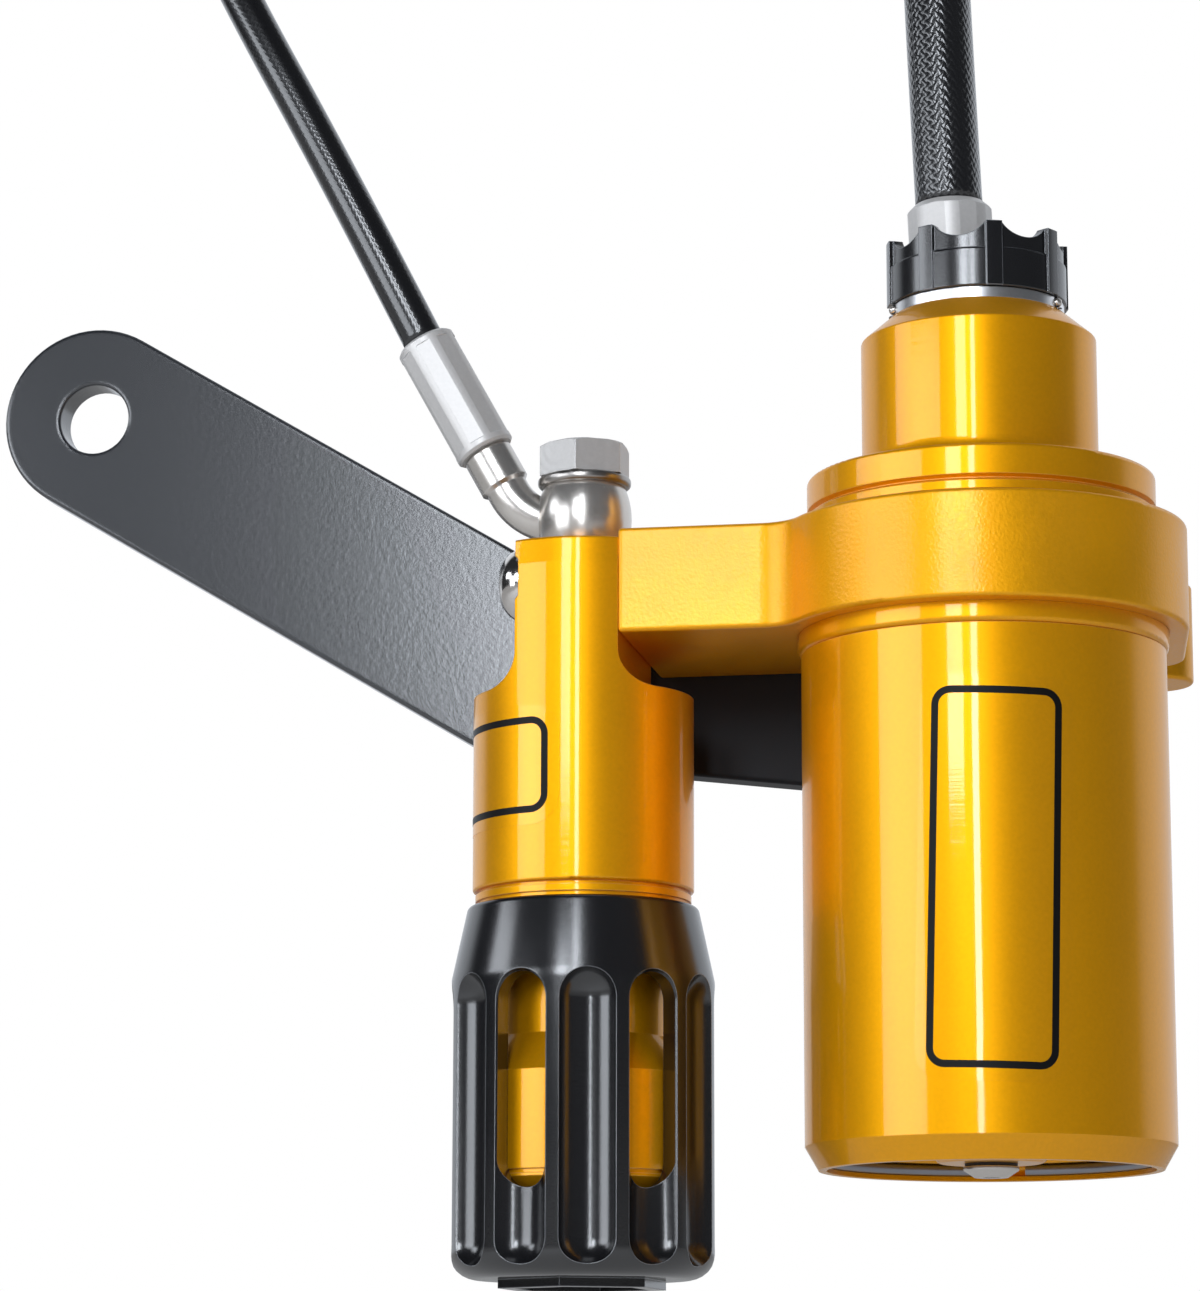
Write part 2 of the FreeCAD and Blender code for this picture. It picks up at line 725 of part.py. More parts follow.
def make_dial():
    """Ring dial with eight lobes and a scooped rim, on a skirt whose foot is a face cam."""
    low = dial_bottom
    ledge = low + dial_ledge_height
    high = low + dial_height
    body = turned([
        (dial_skirt_inner, low, 0), (dial_ledge_radius, low, 0.2),
        (dial_ledge_radius, ledge, 0.2), (dial_upper_radius, ledge, 0),
        (dial_upper_radius, high, 0.2), (dial_upper_bore, high, 0.2),
        (dial_upper_bore, low + dial_bore_top, 0), (dial_skirt_inner, low + dial_bore_top, 0)])
    lobes = ring(dial_upper_bore, dial_radius, low, high)
    bars = []
    for k in range(dial_lobes):
        bar = Part.makeBox(6, dial_lobe_width, dial_height, Vector(8.5, -dial_lobe_width / 2, 0))
        bar.rotate(Vector(0, 0, 0), UP, dial_lobe_turn + 360 / dial_lobes * k)
        bar.translate(at(0, 0, low))
        bars.append(bar)
    body = body.fuse(lobes.common(Part.makeCompound(bars)))
    gap = 2 * dial_upper_radius * math.sin(math.pi / dial_lobes) - dial_lobe_width
    radius = (gap ** 2 / 4 + dial_scoop_depth ** 2) / (2 * dial_scoop_depth)
    scoops = []
    for k in range(dial_lobes):
        angle = math.radians(dial_lobe_turn + 360 / dial_lobes * (k + 0.5))
        out = Vector(math.cos(angle), math.sin(angle), 0)
        centre = at(0, 0, high - dial_scoop_depth + radius) + out * 9
        scoops.append(rod(radius, centre, centre + out * 5))
    body = body.cut(scoops)
    skirt_low = low - dial_skirt_length
    skirt = ring(dial_skirt_inner, dial_skirt_radius, skirt_low, low + 0.5)
    body = body.fuse(skirt)
    step = cam_turn / cam_steps
    steps = []
    for k in range(cam_steps + 1):
        height = needle_travel * (1 - k / cam_steps) + 0.15
        wedge = Part.makeCylinder(dial_radius + 1, height + 1, Vector(0, 0, 0), UP, step)
        wedge.rotate(Vector(0, 0, 0), UP, needle_bearing + step * (k - 0.5))
        wedge.translate(at(0, 0, skirt_low - 1))
        steps.append(wedge)
    return body.cut(steps)


def make_detent():
    """Plate under the dial, and the two click balls and springs in the head."""
    plate = ring(dial_skirt_radius + 2 * fit, dial_radius + 0.1, bevel_top, dial_bottom - detent_gap)
    balls = []
    springs = []
    for place in click_places():
        plate = plate.cut(rod(click_ball_radius + fit, place - UP, place + UP * 3))
        top = dial_bottom - detent_gap - 0.02
        ball_centre = Vector(place.x, place.y, top + foot.z - click_ball_radius)
        balls.append(Part.makeSphere(click_ball_radius, ball_centre))
        spring_top = ball_centre - UP * (click_ball_radius + fit)
        springs.append(coil(click_ball_radius, place - UP * (click_spring_length - fit), spring_top, 0.14, 5))
    return plate, balls, springs


def make_dial_ring():
    """Snap ring that keeps the dial on its spigot."""
    snap = ring(spigot_outer - 0.55, spigot_outer + 0.75, snap_ring_z - 0.3, snap_ring_z + 0.3)
    return snap.cut(Part.makeBox(5, 5, 2, at(-2.5, spigot_outer - 2.5, snap_ring_z - 1)))


def make_adjuster_body():
    """Gold cylinder with a flatted neck above, and a lip and waisted barrel inside the knob."""
    body = turned([
        (oil_bore_radius, barrel_bottom, 0),
        (barrel_radius - barrel_chamfer, barrel_bottom, 0),
        (barrel_radius, barrel_bottom + barrel_chamfer, 0),
        (barrel_radius, barrel_waist_low, 0),
        (barrel_waist_radius, barrel_cone_top, 0),
        (barrel_waist_radius, barrel_lip_low - 2, 0),
        (barrel_radius, barrel_lip_low, 0),
        (barrel_radius, body_bottom - lip_groove, 0),
        (barrel_radius - lip_groove, body_bottom - lip_groove, 0),
        (barrel_radius - lip_groove, body_bottom, 0),
        (body_radius, body_bottom, 0.4),
        (body_radius, body_top - body_top_band, 0),
        (body_radius - body_top_slope, body_top, 0.4),
        (0, body_top, 0),
        (0, oil_bore_top, 0),
        (oil_bore_radius, oil_bore_top, 0),
    ], adjuster_x, adjuster_y)
    for z in (barrel_mark_z, body_bottom - lip_height - lip_groove):
        body = body.cut(ring(barrel_radius - 0.4, barrel_radius + 1, z - 0.3, z + 0.3, adjuster_x, adjuster_y))
    tools = []
    for side in (-1, 1):
        near = neck_half_width * side
        far = (body_radius + 3) * side
        corners = [(near, body_top + 2, 0), (near, flat_bottom, flat_fillet),
                   (far, flat_bottom, 0), (far, body_top + 2, 0)]
        wire = rounded_wire(corners, lambda p: at(adjuster_x + p.x, adjuster_y - 20, p.y))
        tools.append(Part.Face(wire).extrude(Vector(0, 40, 0)))
    top = at(adjuster_x, adjuster_y, body_top)
    tools.append(rod(banjo_bolt_radius + thread_play, top - UP * 12, top + UP))
    tools.append(rod(oil_port_radius, at(adjuster_x, adjuster_y, oil_bore_top - 1), top))
    for y in mount_screw_places():
        left = at(adjuster_x - neck_half_width, y, mount_screw_z)
        right = at(adjuster_x + neck_half_width + 1, y, mount_screw_z)
        tools.append(rod(screw_hole_radius, left - Vector(1, 0, 0), right))
        tools.append(rod(spotface_radius, left - Vector(8, 0, 0), left + Vector(spotface_depth, 0, 0)))
    return body.cut(tools)


def make_mount_screws():
    """Two button head screws through the adjuster's neck into the clamp's arm."""
    seat_x = adjuster_x - neck_half_width + spotface_depth
    return [
        button_screw(at(seat_x, y, mount_screw_z), Vector(1, 0, 0), mount_screw_length)
        for y in mount_screw_places()
    ]


def make_knob():
    """Cup shaped knob with twelve flutes, every second one opened into a window."""
    bore = barrel_radius + knob_play
    floor_low = knob_floor_top - knob_floor
    knob = turned([
        (lead_radius + fit, floor_low, 0),
        (knob_recess_radius, floor_low, 0),
        (knob_recess_radius, knob_bottom, 0.4),
        (knob_radius, knob_bottom, knob_corner),
        (knob_radius, knob_cone_bottom, 8.0),
        (knob_top_radius, knob_top, 0.9),
        (bore, knob_top, 0),
        (bore, knob_floor_top, 0),
        (lead_radius + fit, knob_floor_top, 0),
    ], adjuster_x, adjuster_y)
    half = groove_width / 2
    reach = knob_radius + 2
    tools = []
    for k in range(groove_count):
        shapes = [flute(groove_floor_radius, reach, groove_bottom, groove_top, half)]
        if k % 2 == 0:
            shapes.append(flute(barrel_radius - 3, reach, window_bottom, groove_top, half))
        for tool in shapes:
            tool.rotate(Vector(0, 0, 0), UP, 360 / groove_count * k + groove_turn)
            tool.translate(at(adjuster_x, adjuster_y, 0))
            tools.append(tool)
    clip_low = floor_low - screw_cup_height - circlip_thickness
    tools.append(ring(knob_recess_radius - 1, knob_recess_radius + 0.7, clip_low - fit,
                      clip_low + circlip_thickness + fit, adjuster_x, adjuster_y))
    return knob.cut(tools)


def flute(inner, outer, low, high, radius):
    """Round ended slot tool that reaches out along +X from inner to outer."""
    corners = [(-radius, low, radius * 0.999), (radius, low, radius * 0.999),
               (radius, high, radius * 0.999), (-radius, high, radius * 0.999)]
    wire = rounded_wire(corners, lambda p: Vector(inner, p.x, p.y))
    return Part.Face(wire).extrude(Vector(outer - inner, 0, 0))


def make_lead_screw():
    """Screw that turns with the knob, its cup in the knob's foot, and the circlip below it."""
    high = knob_floor_top - knob_floor
    low = high - screw_cup_height
    rim = knob_recess_radius - fit
    screw = turned([
        (0, high - screw_cup_floor, 0), (rim - screw_cup_wall, high - screw_cup_floor, 0.8),
        (rim - screw_cup_wall, low, 0), (rim, low, 0), (rim, high, 0.3), (lead_radius, high, 0),
        (lead_radius, lead_tip - 1, 0), (lead_radius - 1, lead_tip, 0), (0, lead_tip, 0),
    ], adjuster_x, adjuster_y)
    ball_z = lead_tip + thrust_ball_radius * 0.5
    screw = screw.cut(Part.makeSphere(thrust_ball_radius, at(adjuster_x, adjuster_y, ball_z)))
    ball = Part.makeSphere(thrust_ball_radius - 0.01, at(adjuster_x, adjuster_y, ball_z))
    clip_low = low - circlip_thickness
    inner = knob_recess_radius - circlip_width
    clip = ring(inner, knob_recess_radius + 0.6, clip_low, low, adjuster_x, adjuster_y)
    ears = (-2.9, 8.0)
    centre = at(adjuster_x, adjuster_y, clip_low)
    opening = Part.makeBox(ears[1] - ears[0] - 2, 9, 3, centre + Vector(ears[0] + 1, 4, -1))
    clip = clip.cut(opening)
    for x in ears:
        y = math.sqrt((knob_recess_radius - 1.7) ** 2 - x ** 2)
        place = centre + Vector(x, y, 0)
        clip = clip.fuse(Part.makeCylinder(1.6, circlip_thickness, place))
        clip = clip.cut(Part.makeCylinder(0.7, circlip_thickness, place))
    return screw, ball, clip


def make_banjo():
    """Banjo eye, bent tube and collar, the bolt and its sealing washers."""
    eye_low = body_top + lower_washer_height
    eye_high = eye_low + eye_height
    bore = banjo_bolt_radius + 0.1
    bulge = Part.Arc(
        Vector(eye_end_radius, 0, eye_low),
        Vector(eye_radius, 0, (eye_low + eye_high) / 2),
        Vector(eye_end_radius, 0, eye_high),
    ).toShape()
    points = [Vector(eye_end_radius, 0, eye_high), Vector(bore, 0, eye_high),
              Vector(bore, 0, eye_low), Vector(eye_end_radius, 0, eye_low)]
    lines = [Part.LineSegment(a, b).toShape() for a, b in zip(points, points[1:])]
    eye = Part.Face(Part.Wire([bulge] + lines)).revolve(Vector(0, 0, 0), UP, 360)
    eye.translate(at(adjuster_x, adjuster_y, 0))
    start = at(adjuster_x - banjo_tube_start, adjuster_y, eye_high - banjo_tube_drop)
    turn = math.radians(90 - hose_lean)
    bend = banjo_bend_radius
    middle = start + Vector(-bend * math.sin(turn / 2), 0, bend * (1 - math.cos(turn / 2)))
    end = start + Vector(-bend * math.sin(turn), 0, bend * (1 - math.cos(turn)))
    way = Vector(-math.cos(turn), 0, math.sin(turn))
    path = Part.Wire([Part.Arc(start, middle, end).toShape(),
                      Part.LineSegment(end, end + way * (collar_start + 1)).toShape()])
    section = Part.Wire(Part.makeCircle(banjo_tube_radius, start, Vector(-1, 0, 0)))
    tube = path.makePipeShell([section], True, False)
    collar_low = end + way * collar_start
    collar_high = collar_low + way * collar_length
    collar = rod(collar_radius, collar_low, collar_high)
    collar = collar.makeChamfer(0.5, [collar.Edges[2], collar.Edges[0]])
    hole = rod(bore, at(adjuster_x, adjuster_y, eye_low - 1), at(adjuster_x, adjuster_y, eye_high + 1))
    banjo = eye.fuse(tube).fuse(collar).cut(hole)
    lower = ring(bore, seal_washer_radius - 0.4, body_top, eye_low, adjuster_x, adjuster_y)
    bolt_seat = eye_high + upper_washer_height
    upper = turned([(bore, eye_high, 0), (seal_washer_radius, eye_high, 0.6),
                    (seal_washer_radius, bolt_seat, 0.6), (bore, bolt_seat, 0)], adjuster_x, adjuster_y)
    head = hexagon(hex_across_flats, at(adjuster_x, adjuster_y, bolt_seat), UP, hex_height, hex_turn - 84)
    corner = hex_across_flats / math.sqrt(3)
    crown = turned([(0, bolt_seat - 1, 0), (corner + 1, bolt_seat - 1, 0),
                    (corner + 1, bolt_seat + hex_height - 1.0, 0),
                    (corner - 0.9, bolt_seat + hex_height + 0.1, 0),
                    (0, bolt_seat + hex_height + 0.1, 0)], adjuster_x, adjuster_y)
    shank_low = body_top - 11
    shank = rod(banjo_bolt_radius, at(adjuster_x, adjuster_y, shank_low), at(adjuster_x, adjuster_y, bolt_seat))
    drilling = rod(1.5, at(adjuster_x, adjuster_y, shank_low), at(adjuster_x, adjuster_y, (eye_low + eye_high) / 2))
    cross = rod(1.2, at(adjuster_x - 5, adjuster_y, (eye_low + eye_high) / 2), at(adjuster_x, adjuster_y, (eye_low + eye_high) / 2))
    bolt = head.common(crown).fuse(shank).cut(drilling).cut(cross)
    return banjo, [lower, upper], bolt, collar_high, way


def make_ferrule(low, way, length, radius, chamfer):
    """Crimped sleeve on a hose's end."""
    return crimped(low, way, length, radius, chamfer)


def make_far_banjo(centre, way, eye_size, stem_length):
    """Banjo fitting on a hose's far end: an upright eye and its stem."""
    radius, height, bore, stem = eye_size
    low = centre - UP * height / 2
    eye = Part.makeCylinder(radius, height, low)
    eye = eye.makeFillet(1.0, [eye.Edges[0], eye.Edges[2]])
    neck = rod(stem, centre, centre - way * (radius + stem_length))
    oilway = rod(stem / 3, centre, centre - way * (radius + stem_length))
    return eye.fuse(neck).cut([rod(bore, low - UP, low + UP * (height + 1)), oilway])


def far_end(name, route, radius, eye_size):
    """Ferrule and banjo beyond the end of a hose's route."""
    way = (route[-1] - route[-2]).normalize()
    ferrule = make_ferrule(route[-1], way, far_ferrule_length, radius, 0.8)
    stem_start = route[-1] + way * far_ferrule_length
    centre = stem_start + way * (eye_size[0] + far_stem_length)
    print(name, "starts at", route[0], "and its eye is at", centre)
    print(name, "route", [tuple(round(v, 2) for v in p) for p in route])
    return ferrule, make_far_banjo(centre, way, eye_size, far_stem_length)


def union_rod(radius, low, high):
    """Cylinder on the hose union's leaning axis, between two heights of that axis."""
    foot_x, foot_z = union_foot
    lean = math.radians(union_tilt)
    way = Vector(-math.sin(lean), 0, math.cos(lean))
    start = at(foot_x, 0, foot_z) + way * low
    return rod(radius, start, start + way * ((high - foot_z) / math.cos(lean) + 1 - low))


def union_turned(corners):
    """Solid of revolution on the hose union's leaning axis, heights from the union's foot."""
    wire = rounded_wire(corners, lambda p: Vector(p.x, 0, p.y))
    solid = Part.Face(wire).revolve(Vector(0, 0, 0), UP, 360)
    turn = FreeCAD.Rotation(Vector(0, 1, 0), -union_tilt)
    solid.Placement = FreeCAD.Placement(at(union_foot[0], 0, union_foot[1]), turn)
    return solid


def make_union():
    """Hose union screwed into the head, its seal and the crimped sleeve above it."""
    rise = union_top - union_foot[1]
    stem_top = rise + 8
    groove_z = 2.5
    union = union_turned([
        (union_bore, 0, 0), (union_radius - 0.8, 0, 0), (union_radius, 0.8, 0),
        (union_radius, groove_z - 0.8, 0), (union_radius - 1.1, groove_z - 0.8, 0),
        (union_radius - 1.1, groove_z + 0.8, 0), (union_radius, groove_z + 0.8, 0),
        (union_radius, rise, 0), (union_radius - 1.4, rise, 0),
        (union_radius - 1.4, stem_top, 0), (union_bore, stem_top, 0)])
    turn = FreeCAD.Rotation(Vector(0, 1, 0), -union_tilt)
    seal = Part.makeTorus(union_radius - 0.54, 0.5, Vector(0, 0, groove_z), UP)
    seal.Placement = FreeCAD.Placement(at(union_foot[0], 0, union_foot[1]), turn)
    top = rise + ferrule_length
    ferrule = union_turned([
        (union_radius - 1.4 + fit, rise, 0), (ferrule_radius, rise, 0.3),
        (ferrule_radius, top - ferrule_chamfer, 0), (ferrule_radius - ferrule_chamfer, top, 0),
        (0, top, 0), (0, stem_top + 0.2, 0), (union_radius - 1.4 + fit, stem_top + 0.2, 0)])
    corner = (ferrule_radius - crimp_depth) / math.cos(math.pi / crimp_flats)
    points = []
    for k in range(crimp_flats + 1):
        angle = 2 * math.pi * k / crimp_flats + 0.15
        points.append(Vector(corner * math.cos(angle), corner * math.sin(angle), 0))
    bar = Part.Face(Part.makePolygon(points)).extrude(Vector(0, 0, 20))
    pressed = Part.makeCylinder(ferrule_radius + 2, 20).cut(bar)
    pressed.Placement = FreeCAD.Placement(at(union_foot[0], 0, union_foot[1]), turn).multiply(
        FreeCAD.Placement(Vector(0, 0, rise + 2.5), FreeCAD.Rotation()))
    ferrule = ferrule.cut(pressed)
    lean = math.radians(union_tilt)
    end = at(union_foot[0], 0, union_foot[1]) + Vector(-math.sin(lean), 0, math.cos(lean)) * top
    return union, seal, ferrule, end


def needle_place(z):
    """Point on the needle's axis, measured from the reservoir's axis."""
    angle = math.radians(needle_bearing)
    radius = (dial_skirt_inner + dial_skirt_radius) / 2
    return Vector(radius * math.cos(angle), radius * math.sin(angle), z)


def click_places():
    """Tops of the pockets for the dial's click balls, in the head's upper face."""
    radius = (dial_skirt_radius + fit + bevel_radius) / 2 + 0.6
    places = []
    for bearing in click_bearings:
        angle = math.radians(bearing)
        places.append(at(radius * math.cos(angle), radius * math.sin(angle), bevel_top))
    return places


def coil(radius, low, high, wire, turns):
    """Small closed helical spring that fits a bore, standing on low and ending at high."""
    height = high.z - low.z - 2 * wire
    middle = radius - wire
    helix = Part.makeHelix(height / turns, height, middle)
    section = Part.Wire(Part.makeCircle(wire, Vector(middle, 0, 0), Vector(0, 1, 0)))
    spring = Part.Wire(helix).makePipeShell([section], True, True)
    spring.translate(low + UP * wire)
    return spring


def make_end_plug():
    """Threaded bush in the barrel's mouth, with the knob's click ball and spring."""
    radius = oil_bore_radius - fit
    plug = turned([
        (lead_radius + thread_play, barrel_bottom, 0), (radius, barrel_bottom, 0.5),
        (radius, plug_top, 0.5), (lead_radius + thread_play, plug_top, 0)], adjuster_x, adjuster_y)
    centre = at(adjuster_x, adjuster_y, knob_ball_z)
    bore = knob_ball_radius + fit
    plug = plug.cut(rod(bore, centre, centre + Vector(0, radius + 1, 0)))
    ball_centre = centre + Vector(0, lead_radius + thread_play + knob_ball_radius, 0)
    ball = Part.makeSphere(knob_ball_radius, ball_centre)
    length = radius - lead_radius - thread_play - 2 * knob_ball_radius - 2 * fit
    spring = coil(knob_ball_radius, Vector(0, 0, 0), Vector(0, 0, length), 0.2, 5)
    start = ball_centre + Vector(0, knob_ball_radius + fit, 0)
    spring.Placement = FreeCAD.Placement(start, FreeCAD.Rotation(UP, Vector(0, 1, 0))).multiply(spring.Placement)
    return plug, ball, spring


def make_oil_piston():
    """Piston pushed up the adjuster's bore by the lead screw, and its seal."""
    radius = oil_bore_radius - fit
    seal_z = oil_piston_top - 3.5
    piston = turned([
        (0, oil_piston_bottom, 0), (radius, oil_piston_bottom, 0.5),
        (radius, oil_piston_top, 0.5), (0, oil_piston_top, 0)], adjuster_x, adjuster_y)
    ball_z = lead_tip + thrust_ball_radius * 0.5
    pocket = rod(lead_radius + 1, at(adjuster_x, adjuster_y, oil_piston_bottom - 1),
                 at(adjuster_x, adjuster_y, ball_z + thrust_ball_radius + 0.5))
    groove = ring(radius - 1.5, radius + 1, seal_z - 0.95, seal_z + 0.95, adjuster_x, adjuster_y)
    seal = o_ring(radius - 1.5 + o_ring_radius + seal_play / 2, seal_z, o_ring_radius - seal_play / 2,
                  adjuster_x, adjuster_y)
    return piston.cut(pocket).cut(groove), seal


def crimped(low, way, length, radius, chamfer):
    """Round sleeve pressed to a many sided form along its middle."""
    sleeve = rod(radius, low, low + way * length)
    sleeve = sleeve.makeChamfer(chamfer, [sleeve.Edges[2], sleeve.Edges[0]])
    end = 1.2
    across = 2 * (radius - crimp_depth)
    corner = across / 2 / math.cos(math.pi / crimp_flats)
    points = []
    for k in range(crimp_flats + 1):
        angle = 2 * math.pi * (k + 0.5) / crimp_flats
        points.append(Vector(corner * math.cos(angle), corner * math.sin(angle), 0))
    bar = Part.Face(Part.makePolygon(points)).extrude(Vector(0, 0, length - 2 * end))
    bar.Placement = FreeCAD.Placement(low + way * end, FreeCAD.Rotation(UP, way))
    pressed = rod(radius + 1, low + way * end, low + way * (length - end)).cut(bar)
    return sleeve.cut(pressed)


def build():
    """Every sub-part by its node name."""
    parts = {"mounting_bracket": make_bracket()}
    parts["reservoir_clamp"] = make_clamp()
    parts["clamp_pinch_screw"], parts["clamp_pinch_washer"] = make_pinch_screw()
    screws, washers = make_bracket_screws()
    parts["bracket_screws"] = Part.makeCompound(screws)
    parts["bracket_screw_washers"] = Part.makeCompound(washers)

    parts["reservoir_tube"] = make_tube()
    cap, cap_seal, gas_screw, gas_seal = make_end_cap()
    parts["reservoir_end_cap"] = cap
    parts["end_cap_seal"] = cap_seal
    parts["gas_valve_screw"] = gas_screw
    parts["gas_valve_seal"] = gas_seal
    parts["end_cap_circlip"] = make_circlip()
    piston, band, piston_seal = make_floating_piston()
    parts["floating_piston"] = piston
    parts["floating_piston_band"] = band
    parts["floating_piston_seal"] = piston_seal
    parts["reservoir_head"], parts["reservoir_head_seal"] = make_head()
    parts["compression_needle"] = make_needle()
    parts["compression_dial"] = make_dial()
    plate, balls, springs = make_detent()
    parts["dial_detent_plate"] = plate
    parts["dial_click_balls"] = Part.makeCompound(balls)
    parts["dial_click_springs"] = Part.makeCompound(springs)
    parts["dial_snap_ring"] = make_dial_ring()
    union, union_seal, ferrule, hose_start = make_union()
    parts["hose_union"] = union
    parts["hose_union_seal"] = union_seal
    parts["reservoir_hose_ferrule"] = ferrule

    route = [hose_start] + [at(*p) for p in reservoir_route]
    parts["reservoir_hose"] = hose("reservoir hose", route, reservoir_hose_radius)
    eye_size = (far_eye_radius, far_eye_height, far_eye_bore, far_stem_radius)
    ferrule, banjo = far_end("reservoir hose", route, ferrule_radius, eye_size)
    parts["reservoir_hose_end_ferrule"] = ferrule
    parts["reservoir_hose_end_banjo"] = banjo

    parts["adjuster_body"] = make_adjuster_body()
    parts["adjuster_mount_screws"] = Part.makeCompound(make_mount_screws())
    parts["adjuster_knob"] = make_knob()
    screw, thrust_ball, clip = make_lead_screw()
    parts["lead_screw"] = screw
    parts["knob_circlip"] = clip
    parts["thrust_ball"] = thrust_ball
    plug, click_ball, click_spring = make_end_plug()
    parts["adjuster_end_plug"] = plug
    parts["knob_click_ball"] = click_ball
    parts["knob_click_spring"] = click_spring
    parts["preload_piston"], parts["preload_piston_seal"] = make_oil_piston()
    banjo, sealing_washers, bolt, ferrule_low, way = make_banjo()
    parts["preload_banjo"] = banjo
    parts["banjo_sealing_washers"] = Part.makeCompound(sealing_washers)
    parts["banjo_bolt"] = bolt
    parts["preload_hose_ferrule"] = make_ferrule(
        ferrule_low, way, preload_ferrule_length, preload_ferrule_radius, 0.4)
    route = [ferrule_low + way * preload_ferrule_length] + [at(*p) for p in preload_route]
    parts["preload_hose"] = hose("preload hose", route, preload_hose_radius)
    eye_size = (small_eye_radius, small_eye_height, small_eye_bore, small_stem_radius)
    ferrule, banjo = far_end("preload hose", route, preload_ferrule_radius, eye_size)
    parts["preload_hose_end_ferrule"] = ferrule
    parts["preload_hose_end_banjo"] = banjo
    return parts


os.makedirs("parts", exist_ok=True)
for name, shape in build().items():
    box = shape.BoundBox
    low = [round(v, 2) for v in (box.XMin, box.YMin, box.ZMin)]
    high = [round(v, 2) for v in (box.XMax, box.YMax, box.ZMax)]
    print(name, len(shape.Solids), shape.isValid(), round(shape.Volume, 1), low, high)
    shape.exportStep("parts/" + name + ".step")
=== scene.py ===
import json
import logging
import math
from dataclasses import dataclass
from enum import Enum
from typing import Optional, Sequence, Union

import bmesh
import bpy
from mathutils import Matrix, Vector


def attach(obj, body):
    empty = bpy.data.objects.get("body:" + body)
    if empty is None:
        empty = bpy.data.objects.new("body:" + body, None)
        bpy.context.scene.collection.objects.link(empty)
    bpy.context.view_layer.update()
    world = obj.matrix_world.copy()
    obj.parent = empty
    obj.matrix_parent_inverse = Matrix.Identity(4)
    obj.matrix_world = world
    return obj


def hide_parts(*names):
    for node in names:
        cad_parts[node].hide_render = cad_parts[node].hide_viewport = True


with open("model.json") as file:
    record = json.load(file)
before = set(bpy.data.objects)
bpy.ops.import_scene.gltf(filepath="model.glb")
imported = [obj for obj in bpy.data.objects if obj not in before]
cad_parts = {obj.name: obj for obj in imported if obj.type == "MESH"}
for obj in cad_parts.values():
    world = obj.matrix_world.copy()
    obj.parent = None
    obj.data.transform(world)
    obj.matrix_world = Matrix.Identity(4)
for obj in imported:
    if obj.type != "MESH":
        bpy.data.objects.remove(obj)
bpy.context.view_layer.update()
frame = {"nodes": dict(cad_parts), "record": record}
LOG = logging.getLogger("remote_unit")

# Feet of the two upright axes, in metres
RESERVOIR = Vector((0.1408, -0.0273, -0.1169))
ADJUSTER = Vector((0.0824, -0.0253, -0.1169))
MM = 0.001
# Tint of the studio's lights beside the white that the camera is set to
COOL = (0.88, 0.93, 1.0)

Operand = Union["Signal", float]


class Signal:
    """One output of a node tree, which takes part in sums, products and so on."""

    def __init__(self, tree: bpy.types.NodeTree, socket: bpy.types.NodeSocket) -> None:
        """Keep the socket and the tree that it is in.

        Args:
            tree: Tree in which new nodes are made.
            socket: Output that this signal stands for.
        """
        self.tree = tree
        self.socket = socket

    def math(self, operation: str, *others: Operand) -> "Signal":
        """Join this signal with others in one Math node.

        Args:
            operation: Name of the Math node's operation.
            others: Second and third operand.

        Returns:
            The node's output.
        """
        node = self.tree.nodes.new("ShaderNodeMath")
        node.operation = operation
        for place, value in enumerate((self, *others)):
            connect(self.tree, node.inputs[place], value)
        return Signal(self.tree, node.outputs[0])

    def __add__(self, other: Operand) -> "Signal":
        return self.math("ADD", other)

    def __sub__(self, other: Operand) -> "Signal":
        return self.math("SUBTRACT", other)

    def __mul__(self, other: Operand) -> "Signal":
        return self.math("MULTIPLY", other)

    def __truediv__(self, other: Operand) -> "Signal":
        return self.math("DIVIDE", other)

    def __rsub__(self, other: float) -> "Signal":
        return (self * -1.0) + other

    __radd__ = __add__
    __rmul__ = __mul__

    def step(self, low: float, high: float) -> "Signal":
        """Smooth step from 0 at low to 1 at high.

        Args:
            low: Value below which the step is 0.
            high: Value above which the step is 1.

        Returns:
            The step.
        """
        node = self.tree.nodes.new("ShaderNodeMapRange")
        node.interpolation_type = "SMOOTHSTEP"
        connect(self.tree, node.inputs["Value"], self)
        node.inputs["From Min"].default_value = low
        node.inputs["From Max"].default_value = high
        return Signal(self.tree, node.outputs[0])

    def wave(self) -> "Signal":
        """Sine of the signal in radians."""
        return self.math("SINE")


def connect(tree: bpy.types.NodeTree, socket: bpy.types.NodeSocket, value: object) -> None:
    """Link a signal to a socket, or set the socket to a plain value.

    Args:
        tree: Tree that both ends are in.
        socket: Input to feed.
        value: Signal, number, tuple or data-block.
    """
    if isinstance(value, Signal):
        tree.links.new(value.socket, socket)
    else:
        socket.default_value = value


